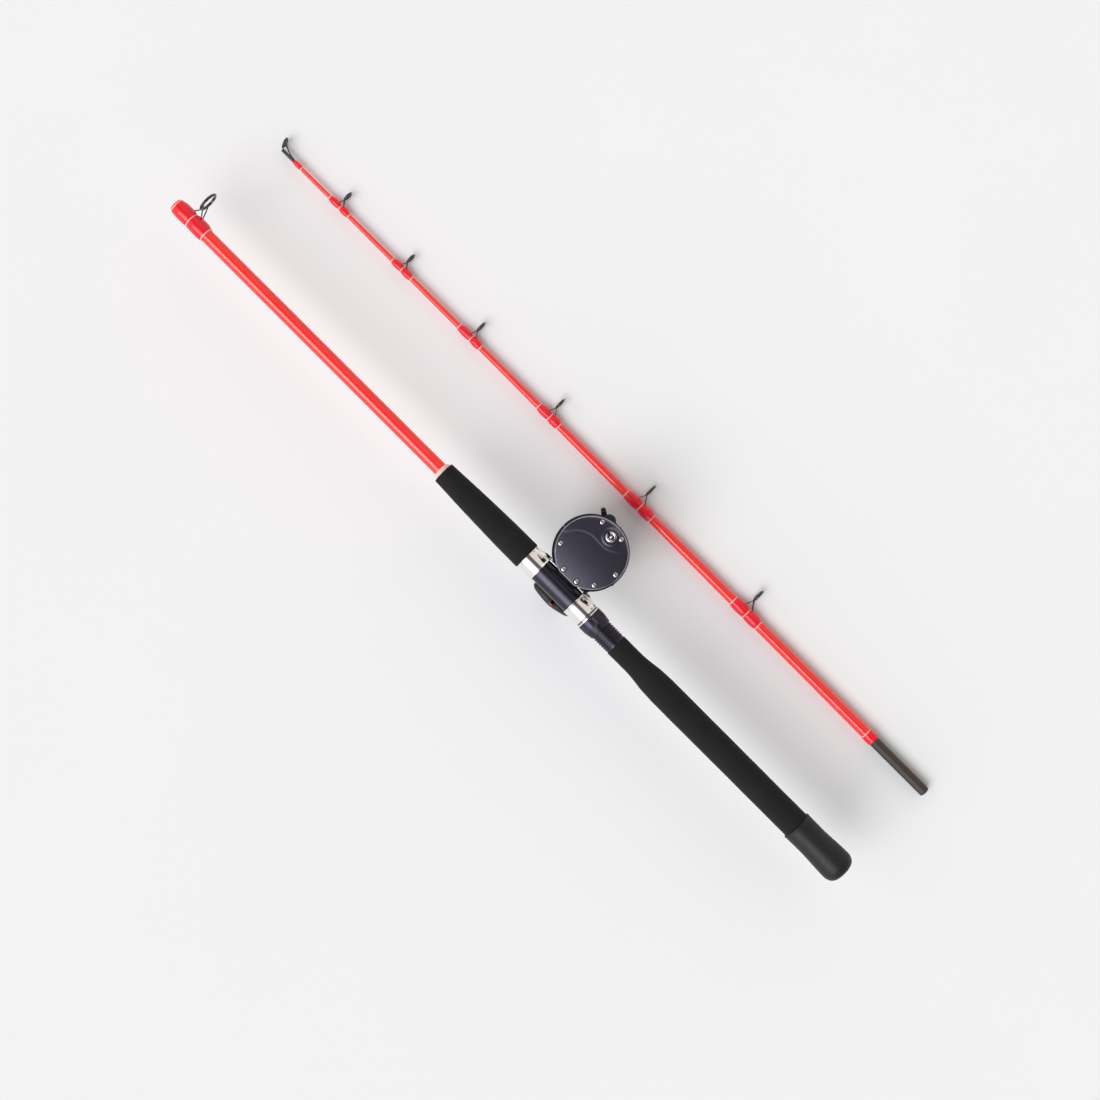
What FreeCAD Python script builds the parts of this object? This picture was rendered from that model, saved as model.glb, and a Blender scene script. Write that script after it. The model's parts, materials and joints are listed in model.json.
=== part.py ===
"""A two-piece boat fishing rod, taken apart, with a star-drag multiplier reel on its butt section.

Both sections lie along Y, tips towards +Y. The guides and the reel stick out towards +X.
The reel lies on its crank side, so the spool turns about a vertical axis, and the floor is Z = 0.
The origin is on the floor, in the middle of the whole outline. All sizes are in millimetres.
"""
import FreeCAD, Part
import math
import os

from FreeCAD import Vector

# ---- where the two sections and the reel lie ----
BUTT_X = -73.0           # axis of the butt section
AXIS_Z = 90.0            # its height, which the crank knob gives
TIP_X = 63.0             # axis of the tip section
TIP_Z = 8.75             # its height, which the largest tip guide ring gives
BUTT_END = -535.0        # rear end of the butt cap
BUTT_FRONT = 555.0       # open front end of the butt blank
SPIGOT_END = -555.0      # rear end of the spigot
SPOOL_OFFSET = 55.0      # from the rod's axis out to the spool's axis
SPOOL_X = BUTT_X + SPOOL_OFFSET
SPOOL_Y = -68.0

# ---- the spigot joint between the sections ----
SPIGOT_R = 6.6
SOCKET_R = 6.65
SOCKET_DEPTH = 93.0

# ---- blanks: (Y, outer radius) ----
BUTT_TAPER = [(BUTT_FRONT, 8.1), (120.0, 8.5), (-520.0, 9.0)]
BUTT_BORE_R = 6.3
TIP_TAPER = [(513.3, 2.35), (142.0, 3.95), (-19.0, 5.2), (-468.0, 7.1)]
TIP_SHANK_R = 1.6        # the blank's end inside the tip-top tube

# ---- reel seat and grips along the rod ----
FORE_GRIP_FRONT = 118.0
FORE_GRIP_REAR = -18.5
HOOD_LENGTH = 22.0
FRONT_HOOD_REAR = FORE_GRIP_REAR - HOOD_LENGTH
REAR_HOOD_FRONT = -93.6
REAR_HOOD_REAR = REAR_HOOD_FRONT - HOOD_LENGTH + 0.3
NUT_RING_WIDTH = 3.5
NUT_REAR = -138.5
THREAD_PITCH = 3.4
REAR_GRIP_FRONT = -162.7
REAR_GRIP_REAR = -456.8
SEAT_BARREL_R = 14.7
SEAT_NECK_R = 14.0       # under the hoods
THREAD_CREST_R = 13.8
THREAD_ROOT_R = 12.9
SEAT_BORE_R = 11.2
SLIDE_GAP = 0.05         # radial running clearance

# ---- reel: heights W are measured from the spool's middle, positive on the left plate's side ----
LEFT_R = 42.6
RIGHT_R = 45.5
RING_BORE_R = 34.0
RING_INNER_W = 20.0
RING_OUTER_W = 24.0
PLATE_TOP_W = 30.0
CAVITY_TOP_W = 27.2
FOOT_LENGTH = 75.0
FOOT_WIDTH = 15.2
PLATE_FLAT = 41.1        # the left plate's flat, from the spool's axis towards the rod
SCREW_CIRCLE_R = 37.0
PILLAR_ANGLES = [26.0, -21.0, -88.0, -131.0, 118.0]
FOOT_SCREW_ANGLES = [165.0, -163.0]
HOUSING_SCREW_R = 39.3
HOUSING_SCREW_ANGLES = [60.0, 110.0, 160.0, -165.0, -60.0, -20.0]
BRIDGE_W = -26.0
HOUSING_END_W = -44.0
HOUSING_WALL = 3.0
FLANGE_R = 33.0
FLANGE_W = 19.0
SPOOL_SHAFT_R = 3.0
BEARING_R = 6.5
CLICK_TEETH = 20
CLICK_ANGLE = -5.8
CLICK_BUTTON_AT = 28.2

# ---- gears ----
GEAR_MODULE = 0.6
MAIN_TEETH = 57
PINION_TEETH = 15
CRANK_ANGLE = -120.0     # from the spool's axis to the crank's axis
GEAR_CENTRES = GEAR_MODULE * (MAIN_TEETH + PINION_TEETH) / 2
RATCHET_TEETH = 12
RATCHET_GAP_ANGLE = 215.0    # the gap the dog drops into, from the crank's axis
DOG_PIVOT_ANGLE = 170.0
DOG_PIVOT_AT = 16.5
DOG_LIFT = 12.0              # degrees that the dog is lifted clear of the ratchet
GEAR_LOW_W = -36.0
GEAR_HIGH_W = -31.5
CRANK_SHAFT_R = 4.0

# ---- crank: from the crank's axis to the knob's axis ----
CRANK_REACH = Vector(-61.9, 8.7, 0)

# ---- free-spool lever: its hub and thumb stub, from the spool's axis ----
LEVER_HUB = (36.3, 9.45)
LEVER_STUB = (46.4, 24.9)
YOKE_LIFT = 2.5

# ---- guides: Y of the ring, ring's outer radius, ring's height over the axis, Y of the 3 bands ----
TIP_GUIDES = [
    (438.4, 6.75, 15.8, (452.7, 435.3, 421.0)),
    (332.5, 7.0, 16.5, (346.5, 330.7, 314.9)),
    (215.1, 7.5, 18.2, (233.8, 213.8, 198.0)),
    (83.1, 7.75, 20.1, (99.0, 80.5, 65.1)),
    (-67.1, 8.5, 23.4, (-48.7, -72.0, -91.6)),
    (-247.4, 8.75, 25.1, (-230.1, -252.0, -271.9)),
]
TIP_TOP_Y = 537.0
TIP_TOP_R = 7.0
TIP_TOP_HEIGHT = 8.2
TIP_TOP_LEAN = 18.0      # degrees that the ring's outer side leans forward
BUTT_GUIDE = (530.5, 13.0, 28.6, (552.4, 528.8, 505.1))
BAND_WIDTH = 1.2
TIP_RING_WIDTH = 3.0
BUTT_RING_WIDTH = 3.4
FOOT_LIFT = 0.08         # varnish between a guide's foot and the blank

Y_DIR = Vector(0, 1, 0)
Z_DIR = Vector(0, 0, 1)


# ---------------------------------------------------------------- helpers
def edges_through(points, closed):
    """Straight edges through points."""
    ends = points[1:] + points[:1] if closed else points[1:]
    return [Part.makeLine(a, b) for a, b in zip(points, ends) if a.distanceToPoint(b) > 1e-6]


def curve_through(points):
    """One smooth edge through points."""
    spline = Part.BSplineCurve()
    spline.interpolate(points)
    return spline.toShape()


def turned(base, axis, out, runs):
    """A solid of revolution. Each run is a list of (along, radius): two points are a straight line,
    and more are one smooth curve. Runs join end to end, and the last closes onto the first."""
    def place(p):
        return base + axis * p[0] + out * p[1]

    edges = []
    last = None
    for run in runs:
        points = [place(p) for p in run]
        if last is not None and last.distanceToPoint(points[0]) > 1e-6:
            edges.append(Part.makeLine(last, points[0]))
        if len(points) == 2:
            edges.append(Part.makeLine(*points))
        elif len(points) > 2:
            edges.append(curve_through(points))
        last = points[-1]
    first = place(runs[0][0])
    if last.distanceToPoint(first) > 1e-6:
        edges.append(Part.makeLine(last, first))
    face = Part.Face(Part.Wire(Part.__sortEdges__(edges)))
    return face.revolve(base, axis, 360)


def corners(points):
    """Runs for turned(), from an outline of straight lines."""
    return [list(pair) for pair in zip(points, points[1:])]


def on_rod(x, z, runs):
    """A solid turned about a section's axis, its outline in (Y, radius)."""
    return turned(Vector(x, 0, z), Y_DIR, Vector(1, 0, 0), runs)


def on_reel(runs, x=0.0, y=0.0):
    """A solid turned about a vertical axis at x, y from the spool's axis, its outline in (W, radius)."""
    return turned(Vector(SPOOL_X + x, SPOOL_Y + y, AXIS_Z), Z_DIR, Vector(1, 0, 0), runs)


def reel_cylinder(r, low, high, x=0.0, y=0.0):
    """A vertical cylinder in the reel."""
    return Part.makeCylinder(r, high - low, Vector(SPOOL_X + x, SPOOL_Y + y, AXIS_Z + low), Z_DIR)


def reel_ring(outer, inner, low, high, x=0.0, y=0.0):
    """A vertical tube in the reel."""
    return reel_cylinder(outer, low, high, x, y).cut(reel_cylinder(inner, low - 1, high + 1, x, y))


def around(radius, angle):
    """The point at a radius and an angle from the spool's axis."""
    return radius * math.cos(math.radians(angle)), radius * math.sin(math.radians(angle))


def prism(points, low, high):
    """An upright prism in the reel, its outline in x, y from the spool's axis."""
    flat = [Vector(SPOOL_X + x, SPOOL_Y + y, AXIS_Z + low) for x, y in points]
    return Part.Face(Part.Wire(edges_through(flat, True))).extrude(Z_DIR * (high - low))


def bar(start, end, width, low, high):
    """A flat bar in the reel from start to end, its ends square."""
    dx, dy = end[0] - start[0], end[1] - start[1]
    length = math.hypot(dx, dy)
    nx, ny = -dy / length * width / 2, dx / length * width / 2
    outline = [
        (start[0] + nx, start[1] + ny), (end[0] + nx, end[1] + ny),
        (end[0] - nx, end[1] - ny), (start[0] - nx, start[1] - ny),
    ]
    return prism(outline, low, high)


def fused(shapes):
    """One shape made of several that touch."""
    return shapes[0].multiFuse(shapes[1:]).removeSplitter()


def bent_wire(points, r, bend):
    """A round wire along points, its corners rounded to a radius."""
    path = []
    start = points[0]
    for before, corner, after in zip(points, points[1:], points[2:]):
        back = (before - corner).normalize()
        on = (after - corner).normalize()
        half = math.acos(max(-1, min(1, back.dot(on)))) / 2
        cut = bend / math.tan(half)
        middle = (back + on).normalize()
        a, b = corner + back * cut, corner + on * cut
        centre = corner + middle * (bend / math.sin(half))
        path.append(Part.makeLine(start, a))
        path.append(Part.Arc(a, centre - middle * bend, b).toShape())
        start = b
    path.append(Part.makeLine(start, points[-1]))
    spine = Part.Wire(path)
    section = Part.Wire([Part.makeCircle(r, points[0], points[1] - points[0])])
    return spine.makePipeShell([section], True, False)


def radius_at(taper, y):
    """A blank's outer radius at Y."""
    for (y0, r0), (y1, r1) in zip(taper, taper[1:]):
        if y1 <= y <= y0:
            return r0 + (r1 - r0) * (y - y0) / (y1 - y0)
    return taper[-1][1] if y < taper[-1][0] else taper[0][1]


def toothed(teeth, module, low, high, x=0.0, y=0.0, phase=0.0, backlash=0.08):
    """A spur gear blank with involute flanks, a tooth centred on the phase angle in degrees."""
    pitch_r = module * teeth / 2
    base_r = pitch_r * math.cos(math.radians(20))
    tip_r = pitch_r + module * 0.95
    root_r = pitch_r - module * 1.2

    def involute(r):
        if r <= base_r:
            return 0.0
        a = math.acos(base_r / r)
        return math.tan(a) - a

    half_pitch = math.pi / (2 * teeth) - backlash / (2 * pitch_r) + involute(pitch_r)
    start_r = max(root_r, base_r)
    radii = [start_r + (tip_r - start_r) * k / 3 for k in range(4)]
    outline = []
    for tooth in range(teeth):
        middle = math.radians(phase) + 2 * math.pi * tooth / teeth
        rising = [(r, middle - half_pitch + involute(r)) for r in radii]
        falling = [(r, middle + half_pitch - involute(r)) for r in reversed(radii)]
        if root_r < start_r:
            rising = [(root_r, middle - half_pitch)] + rising
            falling = falling + [(root_r, middle + half_pitch)]
        outline += [(x + r * math.cos(a), y + r * math.sin(a)) for r, a in rising + falling]
    return prism(outline, low, high)


def saw_teeth(teeth, tip_r, root_r, low, high, x, y, gap_angle, lean):
    """A wheel with pointed teeth and a gap at one angle. Lean 0.4 is symmetric, and 0 is a saw."""
    pitch = 360.0 / teeth
    outline = []
    for tooth in range(teeth):
        floor = gap_angle + pitch * tooth
        for r, a in [
            (root_r, floor - 0.2 * pitch), (root_r, floor + 0.2 * pitch),
            (tip_r, floor + (0.25 + 0.5 * lean) * pitch), (tip_r, floor + (0.35 + 0.5 * lean) * pitch),
        ]:
            dx, dy = around(r, a)
            outline.append((x + dx, y + dy))
    return prism(outline, low, high)


# ---------------------------------------------------------------- rod: blanks, wraps and guides
def butt_blank():
    """The hollow butt blank, with the socket for the spigot in its front end."""
    socket_end = BUTT_FRONT - SOCKET_DEPTH
    rear = BUTT_TAPER[-1][0]
    outline = [(BUTT_FRONT, SOCKET_R)] + BUTT_TAPER
    outline += [(rear, BUTT_BORE_R), (socket_end, BUTT_BORE_R), (socket_end, SOCKET_R)]
    return on_rod(BUTT_X, AXIS_Z, corners(outline))


def blank_core(x, z, taper):
    """A blank with no bore, which cuts the hole in everything that is fitted over it."""
    return on_rod(x, z, corners([(taper[0][0] + 30.0, 0.0), (taper[0][0] + 30.0, taper[0][1])] + taper
                                + [(taper[-1][0], 0.0), (taper[0][0] + 30.0, 0.0)]))


def tip_blank():
    """The hollow tip blank, stepped down at the front for the tip-top tube."""
    rear = TIP_TAPER[-1][0]
    outline = [(531.0, 0.7), (531.0, TIP_SHANK_R - 0.05), (513.3, TIP_SHANK_R)] + TIP_TAPER
    outline += [(rear, 5.3), (rear + 70.0, 5.3), (rear + 75.0, 4.2), (142.0, 2.4), (531.0, 0.7)]
    return on_rod(TIP_X, TIP_Z, corners(outline))


def spigot():
    """The male ferrule: a round-nosed rod glued 65 mm deep into the tip blank."""
    rear = TIP_TAPER[-1][0]
    nose = 2.5
    tip = [(SPIGOT_END + nose * (1 - math.cos(a)), SPIGOT_R - nose * (1 - math.sin(a)))
           for a in (0, math.pi / 6, math.pi / 3, math.pi / 2)]
    runs = [[(rear + 65.0, 0), (rear + 65.0, 5.3)], [(rear + 65.0, 5.3), (rear, 5.3)],
            [(rear, 5.3), (rear, SPIGOT_R)], [(rear, SPIGOT_R), tip[-1]], list(reversed(tip)),
            [tip[0], (SPIGOT_END, 0)]]
    return on_rod(TIP_X, TIP_Z, runs)


def guide_ring(x, z, y, outer, height, width):
    """A round-edged ceramic ring that the line runs through."""
    inner = outer - 1.5
    half = width / 2
    edge = 0.45
    outline = [(y - half, outer - edge), (y - half + edge, outer), (y + half - edge, outer),
               (y + half, outer - edge), (y + half, inner + edge), (y + half - edge, inner),
               (y - half + edge, inner), (y - half, inner + edge), (y - half, outer - edge)]
    return turned(Vector(x + height, 0, z), Y_DIR, Vector(1, 0, 0), corners(outline))


def guide_frame(x, z, y, outer, height, taper, bands, wire):
    """A guide's wire frame: a hoop, one front leg, two rear legs, and flat feet on the blank."""
    inner = outer - 0.9
    hoop = turned(Vector(x + height, 0, z), Y_DIR, Vector(1, 0, 0), corners(
        [(y - 1.0, inner), (y - 1.0, outer), (y + 1.0, outer), (y + 1.0, inner), (y - 1.0, inner)]))
    low = height - outer
    front_y = y + 0.18 * height
    rear_y = y - 0.36 * height
    front_r = radius_at(taper, front_y) + wire + FOOT_LIFT
    rear_r = radius_at(taper, rear_y) + wire + FOOT_LIFT

    def at(along, up, side=0.0):
        return Vector(x + up, along, z + side)

    front_drop = [at(y, low + 0.45), at(y + 0.4, low - 1.0), at(front_y, front_r),
                  at(bands[0] - 4.0, radius_at(taper, bands[0] - 4.0) + wire + FOOT_LIFT)]
    parts = [hoop, bent_wire(front_drop, wire, 1.0)]
    side = 0.55 * outer
    up = height - math.sqrt(outer ** 2 - side ** 2)
    for way in (-1, 1):
        splay = [at(y, up + 0.4, way * (side - 0.3)), at(rear_y, rear_r, way * wire * 0.9),
                 at(bands[2] + 4.0, radius_at(taper, bands[2] + 4.0) + wire + FOOT_LIFT, way * wire * 0.9)]
        parts.append(bent_wire(splay, wire, 1.5))
    hole = Part.makeCylinder(inner, 8.0, Vector(x + height, y - 4.0, z), Y_DIR)
    return fused(parts).cut(hole)


def band(x, z, y, r):
    """A narrow trim band of thread, as high as the wraps beside it."""
    half = BAND_WIDTH / 2
    return on_rod(x, z, corners([(y - half, 1.0), (y - half, r), (y + half, r), (y + half, 1.0)]))


def wrap(x, z, front, rear, taper, thick, crown):
    """A crowned thread wrap between two places along a blank."""
    r0, r1 = radius_at(taper, front) + thick, radius_at(taper, rear) + thick
    middle = (front + rear) / 2
    top = [(front, r0), (front * 0.75 + rear * 0.25, r0 + crown * 0.8), (middle, (r0 + r1) / 2 + crown),
           (front * 0.25 + rear * 0.75, r1 + crown * 0.8), (rear, r1)]
    return on_rod(x, z, [[(front, 1.0), (front, r0)], top, [(rear, r1), (rear, 1.0)]])


def guide_wraps(x, z, bands, taper, thick, crown):
    """The two wraps of one guide, and its three trim bands."""
    half = BAND_WIDTH / 2
    wraps = [wrap(x, z, bands[k] - half, bands[k + 1] + half, taper, thick, crown) for k in (0, 1)]
    trims = [band(x, z, y, radius_at(taper, y) + thick) for y in bands]
    return wraps, trims


def butt_guide_parts(blank):
    """Wraps, bands, frame and ring at the front end of the butt section."""
    y, outer, height, bands = BUTT_GUIDE
    frame = guide_frame(BUTT_X, AXIS_Z, y, outer, height, BUTT_TAPER, bands, 0.75)
    ring = guide_ring(BUTT_X, AXIS_Z, y, outer - 0.9, height, BUTT_RING_WIDTH)
    wraps, trims = guide_wraps(BUTT_X, AXIS_Z, bands, BUTT_TAPER, 1.75, 0.35)
    return {
        "butt_guide_frame": frame,
        "butt_guide_ring": ring,
        "butt_wraps": Part.makeCompound([w.cut([blank, frame]) for w in wraps]),
        "butt_trim_bands": Part.makeCompound([t.cut([blank, frame]) for t in trims]),
    }


def leaned(shape):
    """A shape of the tip-top's ring, leaned forward about the ring's centre."""
    shape.rotate(Vector(TIP_X + TIP_TOP_HEIGHT, TIP_TOP_Y, TIP_Z), Z_DIR, TIP_TOP_LEAN)
    return shape


def tip_top_frame():
    """The tip-top: a tube over the blank's end, and four legs that carry a leaning ring's hoop."""
    tube = on_rod(TIP_X, TIP_Z, corners([
        (533.5, TIP_SHANK_R), (533.5, 2.15), (513.3, 2.15), (513.3, TIP_SHANK_R)]))
    y, outer, height = TIP_TOP_Y, TIP_TOP_R, TIP_TOP_HEIGHT
    inner = outer - 0.9
    hoop = leaned(turned(Vector(TIP_X + height, 0, TIP_Z), Y_DIR, Vector(1, 0, 0), corners(
        [(y - 1.0, inner), (y - 1.0, outer), (y + 1.0, outer), (y + 1.0, inner)])))
    legs = []
    for s in (-1, 1):
        inner_leg = [Vector(TIP_X + 2.0, 535.2, TIP_Z + s * 2.6), Vector(TIP_X + 1.3, 531.0, TIP_Z + s * 1.3),
                     Vector(TIP_X + 1.3, 522.0, TIP_Z + s * 1.3)]
        outer_leg = [Vector(TIP_X + height + 0.5, y + 0.1, TIP_Z + s * 6.5),
                     Vector(TIP_X + 2.2, 521.0, TIP_Z + s * 0.9), Vector(TIP_X + 1.8, 515.5, TIP_Z + s * 0.9)]
        legs += [bent_wire(leg, 0.6, 1.5) for leg in (inner_leg, outer_leg)]
    hole = leaned(Part.makeCylinder(inner, 8.0, Vector(TIP_X + height, y - 4.0, TIP_Z), Y_DIR))
    shank = Part.makeCylinder(TIP_SHANK_R, 25.0, Vector(TIP_X, 512.0, TIP_Z), Y_DIR)
    return fused([tube, hoop] + legs).cut([hole, shank])


def tip_guide_parts(blank):
    """Wraps, bands, frames and rings of the tip section, and its tip-top."""
    nodes, wraps, trims, rings = {}, [], [], []
    for number, (y, outer, height, bands) in enumerate(TIP_GUIDES, 1):
        frame = guide_frame(TIP_X, TIP_Z, y, outer, height, TIP_TAPER, bands, 0.55)
        nodes[f"tip_guide_frame_{number}"] = frame
        rings.append(guide_ring(TIP_X, TIP_Z, y, outer - 0.9, height, TIP_RING_WIDTH))
        covers, edges = guide_wraps(TIP_X, TIP_Z, bands, TIP_TAPER, 1.15, 0.35)
        wraps += [w.cut([blank, frame]) for w in covers]
        trims += [t.cut([blank, frame]) for t in edges]
    nodes["tip_top_frame"] = tip_top_frame()
    rings.append(leaned(guide_ring(TIP_X, TIP_Z, TIP_TOP_Y, TIP_TOP_R - 0.9, TIP_TOP_HEIGHT, 2.4)))
    end_wraps = [(513.2, 501.9, 500.9), (-455.7, -467.9, -454.7)]
    for front, rear, trim in end_wraps:
        wraps.append(wrap(TIP_X, TIP_Z, front, rear, TIP_TAPER, 0.75, 0.15).cut(blank))
        trims.append(band(TIP_X, TIP_Z, trim, radius_at(TIP_TAPER, trim) + 0.8).cut(blank))
    nodes["tip_guide_rings"] = Part.makeCompound(rings)
    nodes["tip_wraps"] = Part.makeCompound(wraps)
    nodes["tip_trim_bands"] = Part.makeCompound(trims)
    return nodes


# ---------------------------------------------------------------- rod: grips and reel seat
def grips(blank):
    """The foam grips, the winding check and the rubber butt cap, all pressed over the blank."""
    fore = on_rod(BUTT_X, AXIS_Z, [
        [(FORE_GRIP_FRONT, 5.0), (FORE_GRIP_FRONT, 13.8)],
        [(FORE_GRIP_FRONT, 13.8), (75.0, 15.6), (30.0, 17.0), (FORE_GRIP_REAR, 17.6)],
        [(FORE_GRIP_REAR, 17.6), (FORE_GRIP_REAR, 5.0)]])
    check = on_rod(BUTT_X, AXIS_Z, corners([(123.0, 5.0), (123.0, 9.3), (121.5, 9.9), (FORE_GRIP_FRONT, 11.4),
                                            (FORE_GRIP_FRONT, 5.0)]))
    rear = on_rod(BUTT_X, AXIS_Z, [
        [(REAR_GRIP_FRONT, 5.0), (REAR_GRIP_FRONT, 13.8)],
        [(REAR_GRIP_FRONT, 13.8), (-190.0, 13.8)],
        [(-190.0, 13.8), (-202.0, 14.3), (-220.0, 16.4), (-237.0, 17.3), (-260.0, 17.4)],
        [(-260.0, 17.4), (REAR_GRIP_REAR, 17.2)], [(REAR_GRIP_REAR, 17.2), (REAR_GRIP_REAR, 5.0)]])
    cap = on_rod(BUTT_X, AXIS_Z, [
        [(REAR_GRIP_REAR, 5.0), (REAR_GRIP_REAR, 18.6)],
        [(REAR_GRIP_REAR, 18.6), (-459.0, 19.0), (-485.0, 18.7), (-508.0, 19.8), (-520.0, 20.2)],
        [(-520.0, 20.2), (-529.0, 18.2), (-534.0, 12.0), (BUTT_END, 0.0)],
        [(BUTT_END, 0.0), (-521.0, 0.0)], [(-521.0, 0.0), (-521.0, 5.0)]])
    return {
        "fore_grip": fore.cut(blank), "winding_check": check.cut(blank),
        "rear_grip": rear.cut(blank), "butt_cap": cap.cut(blank),
    }


def seat_tube():
    """The reel seat's barrel, with a ridged thread behind it for the lock nut."""
    neck_end = REAR_HOOD_REAR + 0.4
    outline = [(FORE_GRIP_REAR, SEAT_BORE_R), (FORE_GRIP_REAR, SEAT_NECK_R), (FRONT_HOOD_REAR, SEAT_NECK_R),
               (FRONT_HOOD_REAR, SEAT_BARREL_R), (REAR_HOOD_FRONT + 0.1, SEAT_BARREL_R),
               (REAR_HOOD_FRONT + 0.1, SEAT_NECK_R), (neck_end, SEAT_NECK_R), (neck_end, THREAD_ROOT_R)]
    y = neck_end - 0.6
    while y - THREAD_PITCH > REAR_GRIP_FRONT:
        outline += [(y, THREAD_ROOT_R), (y - 0.9, THREAD_CREST_R)]
        outline += [(y - 1.7, THREAD_CREST_R), (y - 2.6, THREAD_ROOT_R)]
        y -= THREAD_PITCH
    outline += [(REAR_GRIP_FRONT, THREAD_ROOT_R), (REAR_GRIP_FRONT, SEAT_BORE_R)]
    return on_rod(BUTT_X, AXIS_Z, corners(outline))


def seat_bushings(blank):
    """Three rings that centre the seat on the blank."""
    rings = []
    for front in (-22.0, -85.0, -148.0):
        ring = on_rod(BUTT_X, AXIS_Z, corners([
            (front, 5.0), (front, SEAT_BORE_R), (front - 12.0, SEAT_BORE_R), (front - 12.0, 5.0)]))
        rings.append(ring.cut(blank))
    return Part.makeCompound(rings)


def hood(mouth, back, bore_r, outer_r, foot):
    """A hood with a raised pocket on the reel's side. The pocket opens at mouth and ends at back."""
    way = 1 if back > mouth else -1
    shell = on_rod(BUTT_X, AXIS_Z, corners([
        (mouth, 8.0), (mouth, outer_r + 0.5), (mouth + way * 4.0, outer_r), (back, outer_r), (back, 8.0)]))
    half = 9.6
    side = [Vector(BUTT_X + 10.0, mouth, AXIS_Z - half), Vector(BUTT_X + 18.9, mouth, AXIS_Z - half),
            Vector(BUTT_X + 18.6, mouth + way * 8.0, AXIS_Z - half),
            Vector(BUTT_X + outer_r - 0.6, back - way * 1.0, AXIS_Z - half),
            Vector(BUTT_X + 10.0, back - way * 1.0, AXIS_Z - half)]
    roof = Part.Face(Part.Wire(edges_through(side, True))).extrude(Z_DIR * 2 * half)
    dome = Part.makeCylinder(22.0, HOOD_LENGTH + 2, Vector(BUTT_X - 3.1, min(mouth, back) - 1, AXIS_Z), Y_DIR)
    roof = roof.common(dome)
    bore = Part.makeCylinder(bore_r, HOOD_LENGTH + 4, Vector(BUTT_X, min(mouth, back) - 2, AXIS_Z), Y_DIR)
    return fused([shell, roof]).cut([bore, foot])


def foot_blade(grow):
    """The reel foot's two blades as one curved plate on the barrel, grown by a margin for the hoods."""
    length = FOOT_LENGTH + 2 * grow
    lo, hi = SPOOL_Y - length / 2, SPOOL_Y + length / 2
    under = SEAT_BARREL_R + 0.1 - grow
    half = FOOT_WIDTH / 2 + grow
    thin, thick = under + 1.4 + 2 * grow, under + 2.4 + 2 * grow
    outline = [(under - 4.0, lo), (thin, lo), (thick, lo + 16.0)]
    outline += [(thick, hi - 16.0), (thin, hi), (under - 4.0, hi)]
    side = [Vector(BUTT_X + out, y, AXIS_Z - half) for out, y in outline]
    plate = Part.Face(Part.Wire(edges_through(side, True))).extrude(Z_DIR * 2 * half)
    inside = Part.makeCylinder(under, length + 2, Vector(BUTT_X, lo - 1, AXIS_Z), Y_DIR)
    return plate.cut(inside)


def seat_parts(blank):
    """Everything of the reel seat, from the fixed hood back to the lock nut."""
    pocket = foot_blade(0.3)
    ring_front = REAR_HOOD_REAR - 0.1
    ring_rear = ring_front - NUT_RING_WIDTH
    nut_bore = THREAD_CREST_R + SLIDE_GAP
    ring = on_rod(BUTT_X, AXIS_Z, corners([
        (ring_front, nut_bore), (ring_front, 15.7), (ring_front - 0.6, 16.3), (ring_rear + 0.4, 16.3),
        (ring_rear, 15.9), (ring_rear, nut_bore)]))
    nut = on_rod(BUTT_X, AXIS_Z, corners([
        (ring_rear, nut_bore), (ring_rear, 16.1), (ring_rear - 9.5, 16.1), (NUT_REAR + 1.0, 14.7),
        (NUT_REAR, 14.4), (NUT_REAR, nut_bore)]))
    flutes = []
    for group in range(6):
        for k in range(4):
            a = math.radians(90 + 60 * group + (k - 1.5) * 6.5)
            x, z = BUTT_X + 16.3 * math.cos(a), AXIS_Z + 16.3 * math.sin(a)
            flutes.append(Part.makeCylinder(0.55, 8.5, Vector(x, ring_rear - 9.3, z), Y_DIR))
    return {
        "seat_tube": seat_tube(),
        "seat_bushings": seat_bushings(blank),
        "front_hood": hood(FRONT_HOOD_REAR, FORE_GRIP_REAR, SEAT_NECK_R, 16.1, pocket),
        "rear_hood": hood(REAR_HOOD_FRONT, REAR_HOOD_REAR, SEAT_NECK_R + SLIDE_GAP, 15.7, pocket),
        "nut_ring": ring,
        "lock_nut": nut.cut(flutes),
    }


# ---------------------------------------------------------------- reel: frame and plates
def flat_side(depth, low, high):
    """A block that cuts a round plate's edge off flat, on the rod's side."""
    return Part.makeBox(20, 120, high - low, Vector(SPOOL_X - depth - 20, SPOOL_Y - 60, AXIS_Z + low))


def left_plate_angles():
    """Angles of the left plate's screws: one over each pillar, and two over the foot."""
    return PILLAR_ANGLES + FOOT_SCREW_ANGLES


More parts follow.
